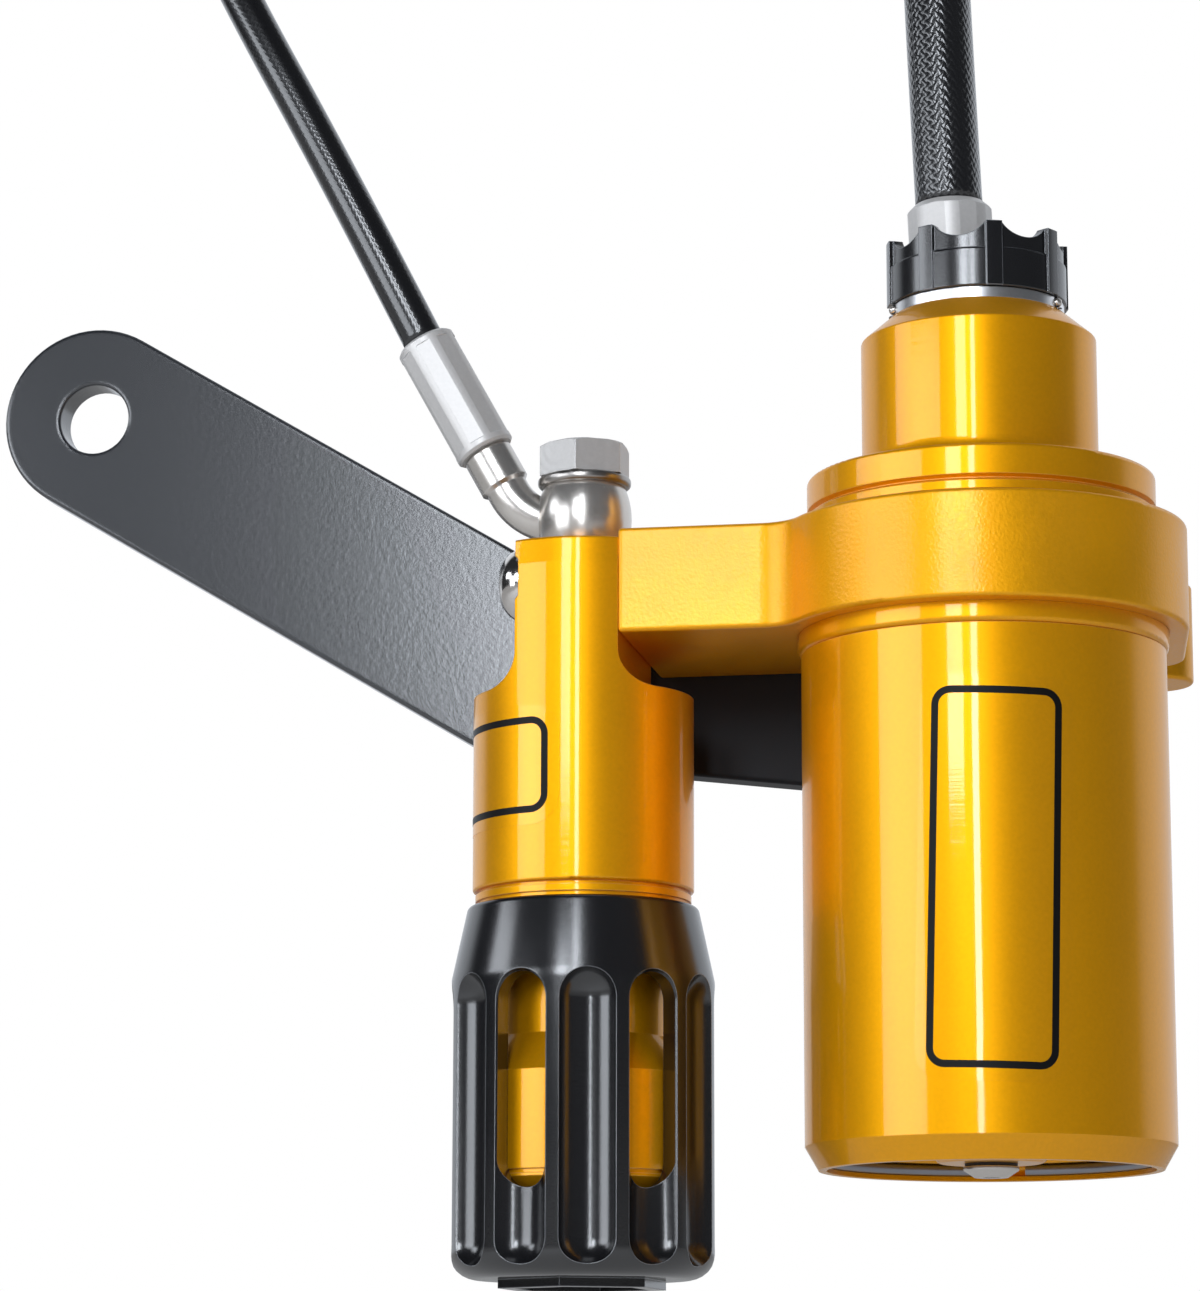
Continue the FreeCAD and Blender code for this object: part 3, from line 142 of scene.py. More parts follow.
class Tree:
    """Node tree with one generic way to add a node."""

    def __init__(self, tree: bpy.types.NodeTree, empty: bool = True) -> None:
        """Take over a tree.

        Args:
            tree: Tree of a material, world or geometry group.
            empty: Whether to remove the nodes that are in it.
        """
        self.tree = tree
        if empty:
            tree.nodes.clear()

    def add(self, kind: str, inputs: Optional[dict] = None, output: Union[int, str] = 0,
            **settings: object) -> Signal:
        """Add a node.

        Args:
            kind: Blender's name of the node type.
            inputs: Values or signals by input name or place.
            output: Name or place of the output that is wanted.
            settings: Properties of the node.

        Returns:
            The wanted output.
        """
        node = self.tree.nodes.new(kind)
        for name, value in settings.items():
            setattr(node, name, value)
        for name, value in (inputs or {}).items():
            connect(self.tree, node.inputs[name], value)
        return Signal(self.tree, node.outputs[output] if node.outputs else None)

    def axes(self, vector: Signal) -> tuple:
        """X, Y and Z of a vector.

        Args:
            vector: Signal to take apart.

        Returns:
            Its three parts.
        """
        first = self.add("ShaderNodeSeparateXYZ", {0: vector})
        return tuple(Signal(self.tree, socket) for socket in first.socket.node.outputs)

    def noise(self, where: Signal, scale: tuple, detail: float = 2.0) -> Signal:
        """Noise whose features are 1/scale metres across along each axis.

        Args:
            where: Coordinates.
            scale: Features per metre along X, Y and Z.
            detail: Octaves of finer noise.

        Returns:
            Value near 0.5, mostly between 0.3 and 0.7.
        """
        mapped = self.add("ShaderNodeMapping", {"Vector": where, "Scale": scale})
        return self.add("ShaderNodeTexNoise", {"Vector": mapped, "Scale": 1.0, "Detail": detail})


def mirrored(tree: Tree) -> Signal:
    """Whether a ray comes off gloss or through glass.

    Args:
        tree: Tree in which the node is made.

    Returns:
        1 for such a ray and 0 for others.
    """
    glossy = tree.add("ShaderNodeLightPath", output="Is Glossy Ray")
    return glossy.math("MAXIMUM", tree.add("ShaderNodeLightPath", output="Is Transmission Ray"))


class Surface(Enum):
    """Kinds of surface relief that the finishes choose from."""

    PLAIN = "plain"
    TURNED = "turned"
    BLASTED = "blasted"
    GRAINED = "grained"
    PAINTED = "painted"
    BRUSHED = "brushed"
    FACED = "faced"
    BRAIDED = "braided"


# Noises that make up a relief: features per metre along X, Y and Z, octaves and weight
NOISES = {
    Surface.PLAIN: (((1500.0,) * 3, 2.0, 1.0),),
    Surface.TURNED: (((40.0, 40.0, 5200.0), 1.0, 0.7), ((12.0, 12.0, 900.0), 1.0, 0.6)),
    Surface.BLASTED: (((3600.0,) * 3, 2.0, 1.0),),
    Surface.GRAINED: (((2300.0,) * 3, 1.0, 1.0),),
    Surface.PAINTED: (((1500.0,) * 3, 1.0, 1.0), ((3600.0,) * 3, 1.0, 0.3)),
    Surface.BRUSHED: (((2600.0, 2600.0, 120.0), 1.0, 1.0),),
}
# Facing cuts per metre, as an angle in radians per metre
FACING_CUTS = 11000.0


@dataclass(frozen=True)
class Finish:
    """Colour, gloss and relief of one material.

    Attributes:
        name: Name of the material.
        colour: Linear base colour.
        edge: Linear colour of edges that are rubbed or broken, and of the painted highlight along
            every sharp edge.
        metallic: 1 for bare or anodised metal.
        roughness: Middle roughness.
        vary: How far the roughness wanders either way.
        surface: Kind of relief.
        relief: Height of the relief in metres.
        coat: Weight of the clear coat.
        coat_roughness: Roughness of the clear coat.
        coat_index: Refractive index of the clear coat.
        shade_coat_ends: X in metres over which the coat fades out, or nothing; the dull dark
            surface beyond is painted shade.
        specular: Specular level of a non-metal.
        edge_width: Width over which edges are lit up, in metres, or 0.
        mottle: How far the colour's brightness wanders either way.
        centre: Point that faced marks go round.
    """

    name: str
    colour: tuple
    edge: tuple = (0.8, 0.8, 0.8)
    metallic: float = 1.0
    roughness: float = 0.3
    vary: float = 0.06
    surface: Surface = Surface.PLAIN
    relief: float = 4e-6
    coat: float = 0.0
    coat_roughness: float = 0.1
    coat_index: float = 1.5
    shade_coat_ends: tuple = ()
    specular: float = 0.5
    edge_width: float = 0.0002
    mottle: float = 0.08
    centre: tuple = (0.0, 0.0, 0.0)


class Painter:
    """Builds procedural materials from finishes."""

    # Features per metre of the wide and the fine noise, and the fine one's part in the colour
    CLOUDS, SPECKS, SPECK_PART = 45.0, 1900.0, 0.12
    # Where edge wear and the painted edge highlight start and end: 1 - cosine of an edge's bend,
    # and the wide noise
    BEND_WORN, CLOUDS_WORN = (0.015, 0.16), (0.3, 0.6)

    def __init__(self) -> None:
        self.made: dict = {}

    def material(self, name: str) -> bpy.types.Material:
        """Material of a finish, made once.

        Args:
            name: Name of the finish.

        Returns:
            The Blender material.
        """
        if name not in self.made:
            self.made[name] = self._build(FINISHES[name])
        return self.made[name]

    def _height(self, tree: Tree, where: Signal, finish: Finish) -> Signal:
        """Relief of a finish, from 0 to 1."""
        if finish.surface is Surface.FACED:
            offset = tree.add("ShaderNodeVectorMath", {0: where, 1: finish.centre},
                              operation="DISTANCE", output="Value")
            return (offset * FACING_CUTS).wave() * 0.5 + 0.5
        if finish.surface is Surface.BRAIDED:
            return self._braid(tree)
        parts = [tree.noise(where, scale, octaves) * weight
                 for scale, octaves, weight in NOISES[finish.surface]]
        return sum(parts[1:], parts[0])

    def _braid(self, tree: Tree) -> Signal:
        """Two crossing sets of strands, from the tube's own coordinates."""
        around, along, _ = tree.axes(tree.add("ShaderNodeUVMap"))
        one = ((around + along) * math.pi).wave()
        other = ((around - along) * math.pi).wave()
        crossing = one * other
        over = one.math("ABSOLUTE") * (crossing * 0.35 + 0.65)
        under = other.math("ABSOLUTE") * (0.65 - crossing * 0.35)
        return over.math("MAXIMUM", under)

    def _build(self, finish: Finish) -> bpy.types.Material:
        """Make the node tree of one finish."""
        material = bpy.data.materials.new(finish.name)
        material.use_nodes = True
        tree = Tree(material.node_tree)
        where = tree.add("ShaderNodeTexCoord", output="Object")
        clouds = tree.noise(where, (self.CLOUDS,) * 3, 3.0)
        specks = tree.noise(where, (self.SPECKS,) * 3, 1.0)
        shade = (clouds - 0.5) * (2.0 * finish.mottle) + (specks - 0.5) * self.SPECK_PART + 1.0
        colour = tree.add("ShaderNodeVectorMath", {0: finish.colour, "Scale": shade},
                          operation="SCALE")
        bump = {"Height": self._height(tree, where, finish), "Strength": 1.0,
                "Distance": finish.relief}
        # Sharp edges are mixed towards the edge colour: partly wear, partly a painted highlight
        # along them
        if finish.edge_width > 0.0:
            eased = tree.add("ShaderNodeBevel", {"Radius": finish.edge_width}, samples=6)
            flat = tree.add("ShaderNodeNewGeometry", output="Normal")
            facing = tree.add("ShaderNodeVectorMath", {0: eased, 1: flat},
                              operation="DOT_PRODUCT", output="Value")
            patches = clouds.step(*self.CLOUDS_WORN) * 0.4 + 0.6
            wear_and_highlight = (1.0 - facing).step(*self.BEND_WORN) * patches
            colour = tree.add("ShaderNodeMix", {0: wear_and_highlight, 6: colour, 7: (*finish.edge, 1.0)},
                              output=2, data_type="RGBA")
            bump["Normal"] = eased
        normal = tree.add("ShaderNodeBump", bump)
        wander = (clouds - 0.5) * 2.0 + (specks - 0.5)
        coat = finish.coat
        # Painted shade: the coat fades out along X, leaving the part beyond dull and dark as if in
        # shadow
        if finish.shade_coat_ends:
            coat = (1.0 - tree.axes(where)[0].step(*finish.shade_coat_ends)) * coat
        shader = tree.add("ShaderNodeBsdfPrincipled", {
            "Base Color": colour, "Metallic": finish.metallic,
            "Roughness": wander * finish.vary + finish.roughness,
            "Specular IOR Level": finish.specular, "Coat Weight": coat,
            "Coat Roughness": finish.coat_roughness, "Coat IOR": finish.coat_index,
            "Normal": normal, "Coat Normal": normal})
        tree.add("ShaderNodeOutputMaterial", {"Surface": shader})
        return material


GOLD = (0.82, 0.355, 0.002)
# Pale gold of the gold parts' edges: edge wear, and a painted highlight along every sharp edge
PALE_GOLD = (0.98, 0.62, 0.16)
BOLT = tuple(ADJUSTER + Vector((0.0, 0.0, 0.1026)))

# A finish's edge colour, given second or left light grey, paints edge wear and a highlight along
# sharp edges
FINISHES = {finish.name: finish for finish in (
    Finish("gold_turned", GOLD, PALE_GOLD, metallic=0.65, roughness=0.42, vary=0.03,
           surface=Surface.TURNED, relief=6e-6, coat=0.5, coat_roughness=0.06, specular=0.05,
           mottle=0.04),
    Finish("gold_blasted", (0.83, 0.365, 0.003), PALE_GOLD, metallic=0.6, roughness=0.44,
           vary=0.2, surface=Surface.GRAINED, relief=3e-5, coat=0.4, coat_roughness=0.2,
           specular=0.05, edge_width=0.0004),
    Finish("black_anodised", (0.006, 0.006, 0.007), (0.30, 0.31, 0.33), metallic=0.0,
           roughness=0.2, vary=0.04, surface=Surface.BLASTED, relief=8e-6, specular=1.0),
    Finish("bare_aluminium", (0.80, 0.80, 0.81), surface=Surface.TURNED, relief=5e-6),
    # Bracket paint; its coat fades out from x = 80 mm to 95 mm, painted shade on the tail under
    # the clamp arm
    Finish("black_paint", (0.012, 0.0135, 0.017), (0.05, 0.055, 0.06), metallic=0.0,
           roughness=0.5, vary=0.05, surface=Surface.PAINTED, relief=1.1e-5, specular=0.15,
           coat=1.0, coat_roughness=0.2, coat_index=1.78, shade_coat_ends=(0.080, 0.095),
           edge_width=0.0006, mottle=0.3),
    Finish("bright_steel", (0.62, 0.585, 0.545), metallic=0.85, roughness=0.25, vary=0.05,
           surface=Surface.BRUSHED, relief=2.5e-6),
    Finish("polished_steel", (0.66, 0.63, 0.60), roughness=0.12, vary=0.04, relief=1e-6),
    Finish("turned_steel", (0.61, 0.59, 0.57), metallic=0.4, roughness=0.45, vary=0.05,
           surface=Surface.BRUSHED, relief=6e-6),
    Finish("bolt_steel", (0.48, 0.465, 0.45), metallic=0.4, roughness=0.4, vary=0.04,
           surface=Surface.FACED, relief=1.2e-5, centre=BOLT),
    # Darker steel of the banjo's sealing washers: partly their own dull finish, partly painted
    # shade for the band in shadow under the bolt head
    Finish("dark_steel", (0.36, 0.34, 0.32), (0.6, 0.6, 0.6), roughness=0.3,
           surface=Surface.TURNED),
    Finish("spring_steel", (0.26, 0.26, 0.28), (0.5, 0.5, 0.52), roughness=0.34),
    Finish("black_hose", (0.004, 0.004, 0.005), metallic=0.0, roughness=0.3,
           surface=Surface.BRAIDED, relief=8e-5, specular=0.8, coat=0.6, coat_roughness=0.08,
           edge_width=0.0),
    Finish("smooth_hose", (0.004, 0.004, 0.005), metallic=0.0, roughness=0.3,
           surface=Surface.BRAIDED, relief=1.2e-5, specular=0.5, coat=0.8, coat_roughness=0.08,
           edge_width=0.0),
    Finish("seal_rubber", (0.02, 0.02, 0.02), metallic=0.0, roughness=0.6, edge_width=0.0),
    Finish("glide_plastic", (0.16, 0.11, 0.08), (0.2, 0.15, 0.1), metallic=0.0, roughness=0.5),
    Finish("sealing_copper", (0.72, 0.50, 0.28), surface=Surface.TURNED),
    Finish("label_film", GOLD, PALE_GOLD, metallic=0.65, roughness=0.4, vary=0.02,
           surface=Surface.TURNED, relief=4e-6, coat=0.7, coat_roughness=0.05, specular=0.05,
           edge_width=0.0, mottle=0.03),
    Finish("label_ink", (0.004, 0.004, 0.004), metallic=0.0, roughness=0.45, specular=0.15,
           edge_width=0.0),
    Finish("pale_floor", (0.66, 0.66, 0.66), metallic=0.0, roughness=0.85, relief=1e-6,
           edge_width=0.0),
)}

# The sealing washers' dark steel is partly painted shade
NODE_FINISH = {"banjo_bolt": "bolt_steel", "banjo_sealing_washers": "dark_steel",
               "adjuster_mount_screws": "polished_steel"}


def mesh_object(name: str, mesh: bpy.types.Mesh, material: bpy.types.Material) -> bpy.types.Object:
    """Link a mesh to the scene with one material.

    Args:
        name: Name of the new object.
        mesh: Its mesh.
        material: Its material.

    Returns:
        The new object.
    """
    made = bpy.data.objects.new(name, mesh)
    mesh.materials.clear()
    mesh.materials.append(material)
    bpy.context.scene.collection.objects.link(made)
    return made


def baked(made: bpy.types.Object, *spare: bpy.types.Object) -> bpy.types.Mesh:
    """Mesh that an object's curve or modifiers make. The objects are removed.

    Args:
        made: Object to take the mesh from.
        spare: Objects that only it needed.

    Returns:
        The new mesh.
    """
    bpy.context.view_layer.update()
    ready = made.evaluated_get(bpy.context.evaluated_depsgraph_get())
    mesh = bpy.data.meshes.new_from_object(ready)
    for piece in (made, *spare):
        bpy.data.objects.remove(piece)
    return mesh


@dataclass(frozen=True)
class Hose:
    """A hose on its route, with the fittings that it carries.

    Attributes:
        node: CAD node that the hose stands for.
        route: Points of the route in metres.
        diameter: Outer diameter in metres.
        length: Real length in metres; not used.
        strands: Number of strands round the braid.
        fittings: CAD nodes on the hose's far end; not used.
        finish: Name of the hose's finish.
    """

    # Sides of the tube, and the braid's pitch along it beside the one round it
    SIDES, STRETCH = 72, 1.25

    node: str
    route: Sequence[tuple]
    diameter: float
    length: float
    strands: int
    fittings: Sequence[str]
    finish: str = "black_hose"

    def line(self) -> list:
        """Points along the route's smooth spline.

        Returns:
            Vectors from the near end to the far end.
        """
        curve = bpy.data.curves.new(self.node + "_route", "CURVE")
        curve.dimensions = "3D"
        spline = curve.splines.new("NURBS")
        spline.points.add(len(self.route) - 1)
        for point, place in zip(spline.points, self.route):
            point.co = (*place, 1.0)
        spline.order_u = 3
        spline.use_endpoint_u = True
        spline.resolution_u = 40
        holder = bpy.data.objects.new(self.node + "_route", curve)
        bpy.context.scene.collection.objects.link(holder)
        mesh = baked(holder)
        points = [v.co.copy() for v in mesh.vertices]
        bpy.data.meshes.remove(mesh)
        return points

    def build(self, painter: Painter) -> bpy.types.Object:
        """Braided tube along the route.

        Args:
            painter: Source of the hose's material.

        Returns:
            The hose, which rides on the unit.
        """
        points = self.line()
        radius = self.diameter / 2.0
        mesh = bpy.data.meshes.new(self.node + "_braided")
        shape = bmesh.new()
        layer = shape.loops.layers.uv.new("UVMap")
        side = Vector((1.0, 0.0, 0.0))
        rings = []
        travelled = [0.0]
        for before, after in zip(points, points[1:]):
            travelled.append(travelled[-1] + (after - before).length)
        for place, point in enumerate(points):
            ahead = points[min(place + 1, len(points) - 1)] - points[max(place - 1, 0)]
            ahead.normalize()
            side = (side - ahead * side.dot(ahead)).normalized()
            up = ahead.cross(side)
            turns = [2.0 * math.pi * k / self.SIDES for k in range(self.SIDES)]
            rings.append([shape.verts.new(point + (side * math.cos(t) + up * math.sin(t)) * radius)
                          for t in turns])
        pitch = 2.0 * math.pi * radius / self.strands * self.STRETCH
        for place, (low, high) in enumerate(zip(rings, rings[1:])):
            for k in range(self.SIDES):
                after = (k + 1) % self.SIDES
                face = shape.faces.new((low[k], low[after], high[after], high[k]))
                face.smooth = True
                spans = [(k, place), (k + 1, place), (k + 1, place + 1), (k, place + 1)]
                for loop, (column, row) in zip(face.loops, spans):
                    loop[layer].uv = (column / self.SIDES * self.strands, travelled[row] / pitch)
        shape.faces.new(rings[0][::-1])
        shape.faces.new(rings[-1])
        shape.to_mesh(mesh)
        shape.free()
        tube = mesh_object(self.node + "_braided", mesh, painter.material(self.finish))
        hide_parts(self.node)
        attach(tube, "unit")
        return tube


@dataclass(frozen=True)
class Film:
    """A clear film with a plain rounded border line on an upright cylinder.

    Attributes:
        name: Start of the pieces' names.
        axis: Point on the cylinder's axis, at the reservoir's foot level.
        radius: Radius of the cylinder in metres.
        left: Azimuth of the border's left side in degrees, from -Y towards +X.
        right: Azimuth of the border's right side.
        low: Height of the border's lower side in millimetres.
        high: Height of the border's upper side.
        lean: Sideways turn of the whole film in degrees.
        line: Width of the border line in millimetres.
        margin: How far the film goes past the border in millimetres.
        corner: Radius of the border's corners in millimetres.
    """

    # Pieces of a corner's arc, and the longest step along the line in millimetres
    ARC_STEPS, LONGEST = 8, 1.2
    COLUMNS, ROWS = 61, 9
    # Heights over the cylinder in millimetres: film, border line, and inner face of both
    FILM_LIFT, LINE_LIFT, INNER_LIFT = 0.04, 0.07, -0.01

    name: str
    axis: Vector
    radius: float
    left: float
    right: float
    low: float
    high: float
    lean: float = 0.0
    line: float = 1.0
    margin: float = 1.7
    corner: float = 2.6

    def _place(self, point: tuple, lift: float) -> Vector:
        """Flat (arc length, height) point in millimetres laid on the cylinder."""
        turn = math.radians(self.lean)
        along = point[0] * math.cos(turn) - point[1] * math.sin(turn)
        height = (point[0] * math.sin(turn) + point[1] * math.cos(turn)
                  + (self.low + self.high) / 2.0)
        azimuth = math.radians((self.left + self.right) / 2.0) + along * MM / self.radius
        reach = self.radius + lift
        return self.axis + Vector((reach * math.sin(azimuth), -reach * math.cos(azimuth),
                                   height * MM))

    def _halves(self, grow: float) -> tuple:
        """Half the width, half the height and the corner radius of the outline, grown by grow."""
        half_width = math.radians(self.right - self.left) * self.radius / MM / 2.0
        return half_width + grow, (self.high - self.low) / 2.0 + grow, self.corner + grow

    def _line_rows(self) -> list:
        """Outer and inner loop of the border line, with its long sides divided."""
        rows = []
        for grow in (0.0, -self.line):
            half_width, half_height, corner = self._halves(grow)
            points = []
            for quarter, (sx, sy) in enumerate(((1, 1), (-1, 1), (-1, -1), (1, -1))):
                for k in range(self.ARC_STEPS + 1):
                    turn = math.radians(90.0 * quarter + 90.0 * k / self.ARC_STEPS)
                    points.append((sx * (half_width - corner) + corner * math.cos(turn),
                                   sy * (half_height - corner) + corner * math.sin(turn)))
            loop = []
            for here, after in zip(points, points[1:] + points[:1]):
                steps = max(1, round(math.dist(here, after) / self.LONGEST))
                loop += [tuple(a + (b - a) * k / steps for a, b in zip(here, after))
                         for k in range(steps)]
            rows.append(loop)
        return rows

    def _patch_rows(self) -> list:
        """Rows of points that fill the film's rounded outline."""
        half_width, half_height, corner = self._halves(self.margin)
        grid = []
        for row in range(self.ROWS):
            line = []
            for column in range(self.COLUMNS):
                turn = math.pi * column / (self.COLUMNS - 1)
                along = -half_width * math.cos(turn)
                inside = max(0.0, abs(along) - (half_width - corner))
                reach = half_height - corner + math.sqrt(max(0.0, corner ** 2 - inside ** 2))
                line.append((along, reach * (2.0 * row / (self.ROWS - 1) - 1.0)))
            grid.append(line)
        return grid

    def _shell(self, name: str, rows: list, lift: float, closed: bool,
               material: bpy.types.Material) -> bpy.types.Object:
        """Thin closed shell over rows of points.

        Args:
            name: Name of the piece.
            rows: Rows of flat points, all of one length.
            lift: Height of the outer face over the cylinder, in metres.
            closed: Whether each row is a loop.
            material: Material of the piece.

        Returns:
            The new object.
        """
        mesh = bpy.data.meshes.new(name)
        shape = bmesh.new()
        outer = [[shape.verts.new(self._place(p, lift)) for p in row] for row in rows]
        inner = [[shape.verts.new(self._place(p, self.INNER_LIFT * MM)) for p in row]
                 for row in rows]
        count = len(rows[0])
        last = len(rows) - 1
        spans = [(k, (k + 1) % count) for k in range(count if closed else count - 1)]
        for k, n in spans:
            for row in range(last):
                face = shape.faces.new((outer[row][k], outer[row][n],
                                        outer[row + 1][n], outer[row + 1][k]))
                face.smooth = True
                shape.faces.new((inner[row][n], inner[row][k],
                                 inner[row + 1][k], inner[row + 1][n]))
            shape.faces.new((inner[0][k], inner[0][n], outer[0][n], outer[0][k]))
            shape.faces.new((inner[last][n], inner[last][k], outer[last][k], outer[last][n]))
        if not closed:
            for row in range(last):
                shape.faces.new((inner[row + 1][0], inner[row][0],
                                 outer[row][0], outer[row + 1][0]))
                shape.faces.new((inner[row][-1], inner[row + 1][-1],
                                 outer[row + 1][-1], outer[row][-1]))
        bmesh.ops.recalc_face_normals(shape, faces=shape.faces)
        shape.to_mesh(mesh)
        shape.free()
        mesh.set_sharp_from_angle(angle=math.radians(30.0))
        return mesh_object(name, mesh, material)

    def build(self, painter: Painter) -> list:
        """Film and border.

        Args:
            painter: Source of the materials.

        Returns:
            The two new objects.
        """
        film = self._shell(self.name + "_film", self._patch_rows(), self.FILM_LIFT * MM, False,
                           painter.material("label_film"))
        border = self._shell(self.name + "_border", self._line_rows(), self.LINE_LIFT * MM, True,
                             painter.material("label_ink"))
        for piece, slot in ((film, "gold_turned"), (border, "black_anodised")):
            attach(piece, "unit")
        return [film, border]


@dataclass(frozen=True)
class Knurl:
    """Fine ridges round a cap screw's head, made as one instanced ring.

    Attributes:
        name: Name of the piece.
        seat: Point on the screw's axis at the head's foot, in metres.
        radius: Radius of the head in metres.
        length: Length of the ridges along the axis in metres.
        count: Number of ridges.
        width: Half the width of a ridge in metres.
        offset: Way from the head's foot to the middle of the ridges in metres.
    """

    name: str
    seat: tuple
    radius: float = 0.005
    length: float = 0.0046
    count: int = 44
    width: float = 0.00022
    offset: float = 0.0034

    @staticmethod
    def group() -> bpy.types.NodeTree:
        """Geometry node group that places ridges round a circle and gives them a material.

        Returns:
            The group, made once.
        """
        found = bpy.data.node_groups.get("knurl_ring")
        if found:
            return found
        group = bpy.data.node_groups.new("knurl_ring", "GeometryNodeTree")
        sockets = (("Radius", "NodeSocketFloat"), ("Length", "NodeSocketFloat"),
                   ("Count", "NodeSocketInt"), ("Width", "NodeSocketFloat"),
                   ("Material", "NodeSocketMaterial"))
        for name, kind in sockets:
            group.interface.new_socket(name, in_out="INPUT", socket_type=kind)
        group.interface.new_socket("Geometry", in_out="OUTPUT", socket_type="NodeSocketGeometry")
        tree = Tree(group)
        given = tree.add("NodeGroupInput").socket.node
        take = {s.name: Signal(group, s) for s in given.outputs if s.name}
        circle = tree.add("GeometryNodeMeshCircle",
                          {"Vertices": take["Count"], "Radius": take["Radius"]})
        ridge = tree.add("GeometryNodeMeshCylinder",
                         {"Vertices": 4, "Radius": take["Width"], "Depth": take["Length"]},
                         output="Mesh")
        turn = (tree.add("GeometryNodeInputIndex") * (2.0 * math.pi)) / take["Count"]
        angles = tree.add("ShaderNodeCombineXYZ", {"Z": turn})
        spread = tree.add("GeometryNodeInstanceOnPoints",
                          {"Points": circle, "Instance": ridge, "Rotation": angles})
        real = tree.add("GeometryNodeRealizeInstances", {"Geometry": spread})
        dressed = tree.add("GeometryNodeSetMaterial",
                           {"Geometry": real, "Material": take["Material"]})
        tree.add("NodeGroupOutput", {"Geometry": dressed})
        return group

    def build(self, painter: Painter) -> bpy.types.Object:
        """Plain mesh of the ridges on a head whose axis lies along +Y.

        Args:
            painter: Source of the material.

        Returns:
            The ridges, which ride on the unit.
        """
        material = painter.material("bright_steel")
        carrier = mesh_object(self.name + "_carrier", bpy.data.meshes.new(self.name), material)
        modifier = carrier.modifiers.new("ridges", "NODES")
        modifier.node_group = self.group()
        values = {"Radius": self.radius, "Length": self.length, "Count": self.count,
                  "Width": self.width, "Material": material}
        for item in modifier.node_group.interface.items_tree:
            if item.in_out == "INPUT":
                modifier[item.identifier] = values[item.name]
        mesh = baked(carrier)
        middle = Matrix.Translation(Vector(self.seat) + Vector((0.0, self.offset, 0.0)))
        mesh.transform(middle @ Matrix.Rotation(math.radians(-90.0), 4, "X"))
        ridges = mesh_object(self.name, mesh, material)
        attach(ridges, "unit")
        return ridges


def rounded(points: Sequence[tuple], steps: int = 8) -> list:
    """Outline with each corner taken round by its own radius.

    Args:
        points: (x, y, radius) of each corner, in order.
        steps: Pieces of each arc.

    Returns:
        2-D vectors round the closed outline.
    """
    outline = []
    for place, (x, y, radius) in enumerate(points):
        corner = Vector((x, y))
        if radius == 0.0:
            outline.append(corner)
            continue
        before = (Vector(points[place - 1][:2]) - corner).normalized()
        after = (Vector(points[(place + 1) % len(points)][:2]) - corner).normalized()
        half = before.angle(after) / 2.0
        middle = corner + (before + after).normalized() * (radius / math.sin(half))
        start = corner + before * (radius / math.tan(half)) - middle
        end = corner + after * (radius / math.tan(half)) - middle
        outline += [middle + start.lerp(end, k / steps).normalized() * radius
                    for k in range(steps + 1)]
    return outline


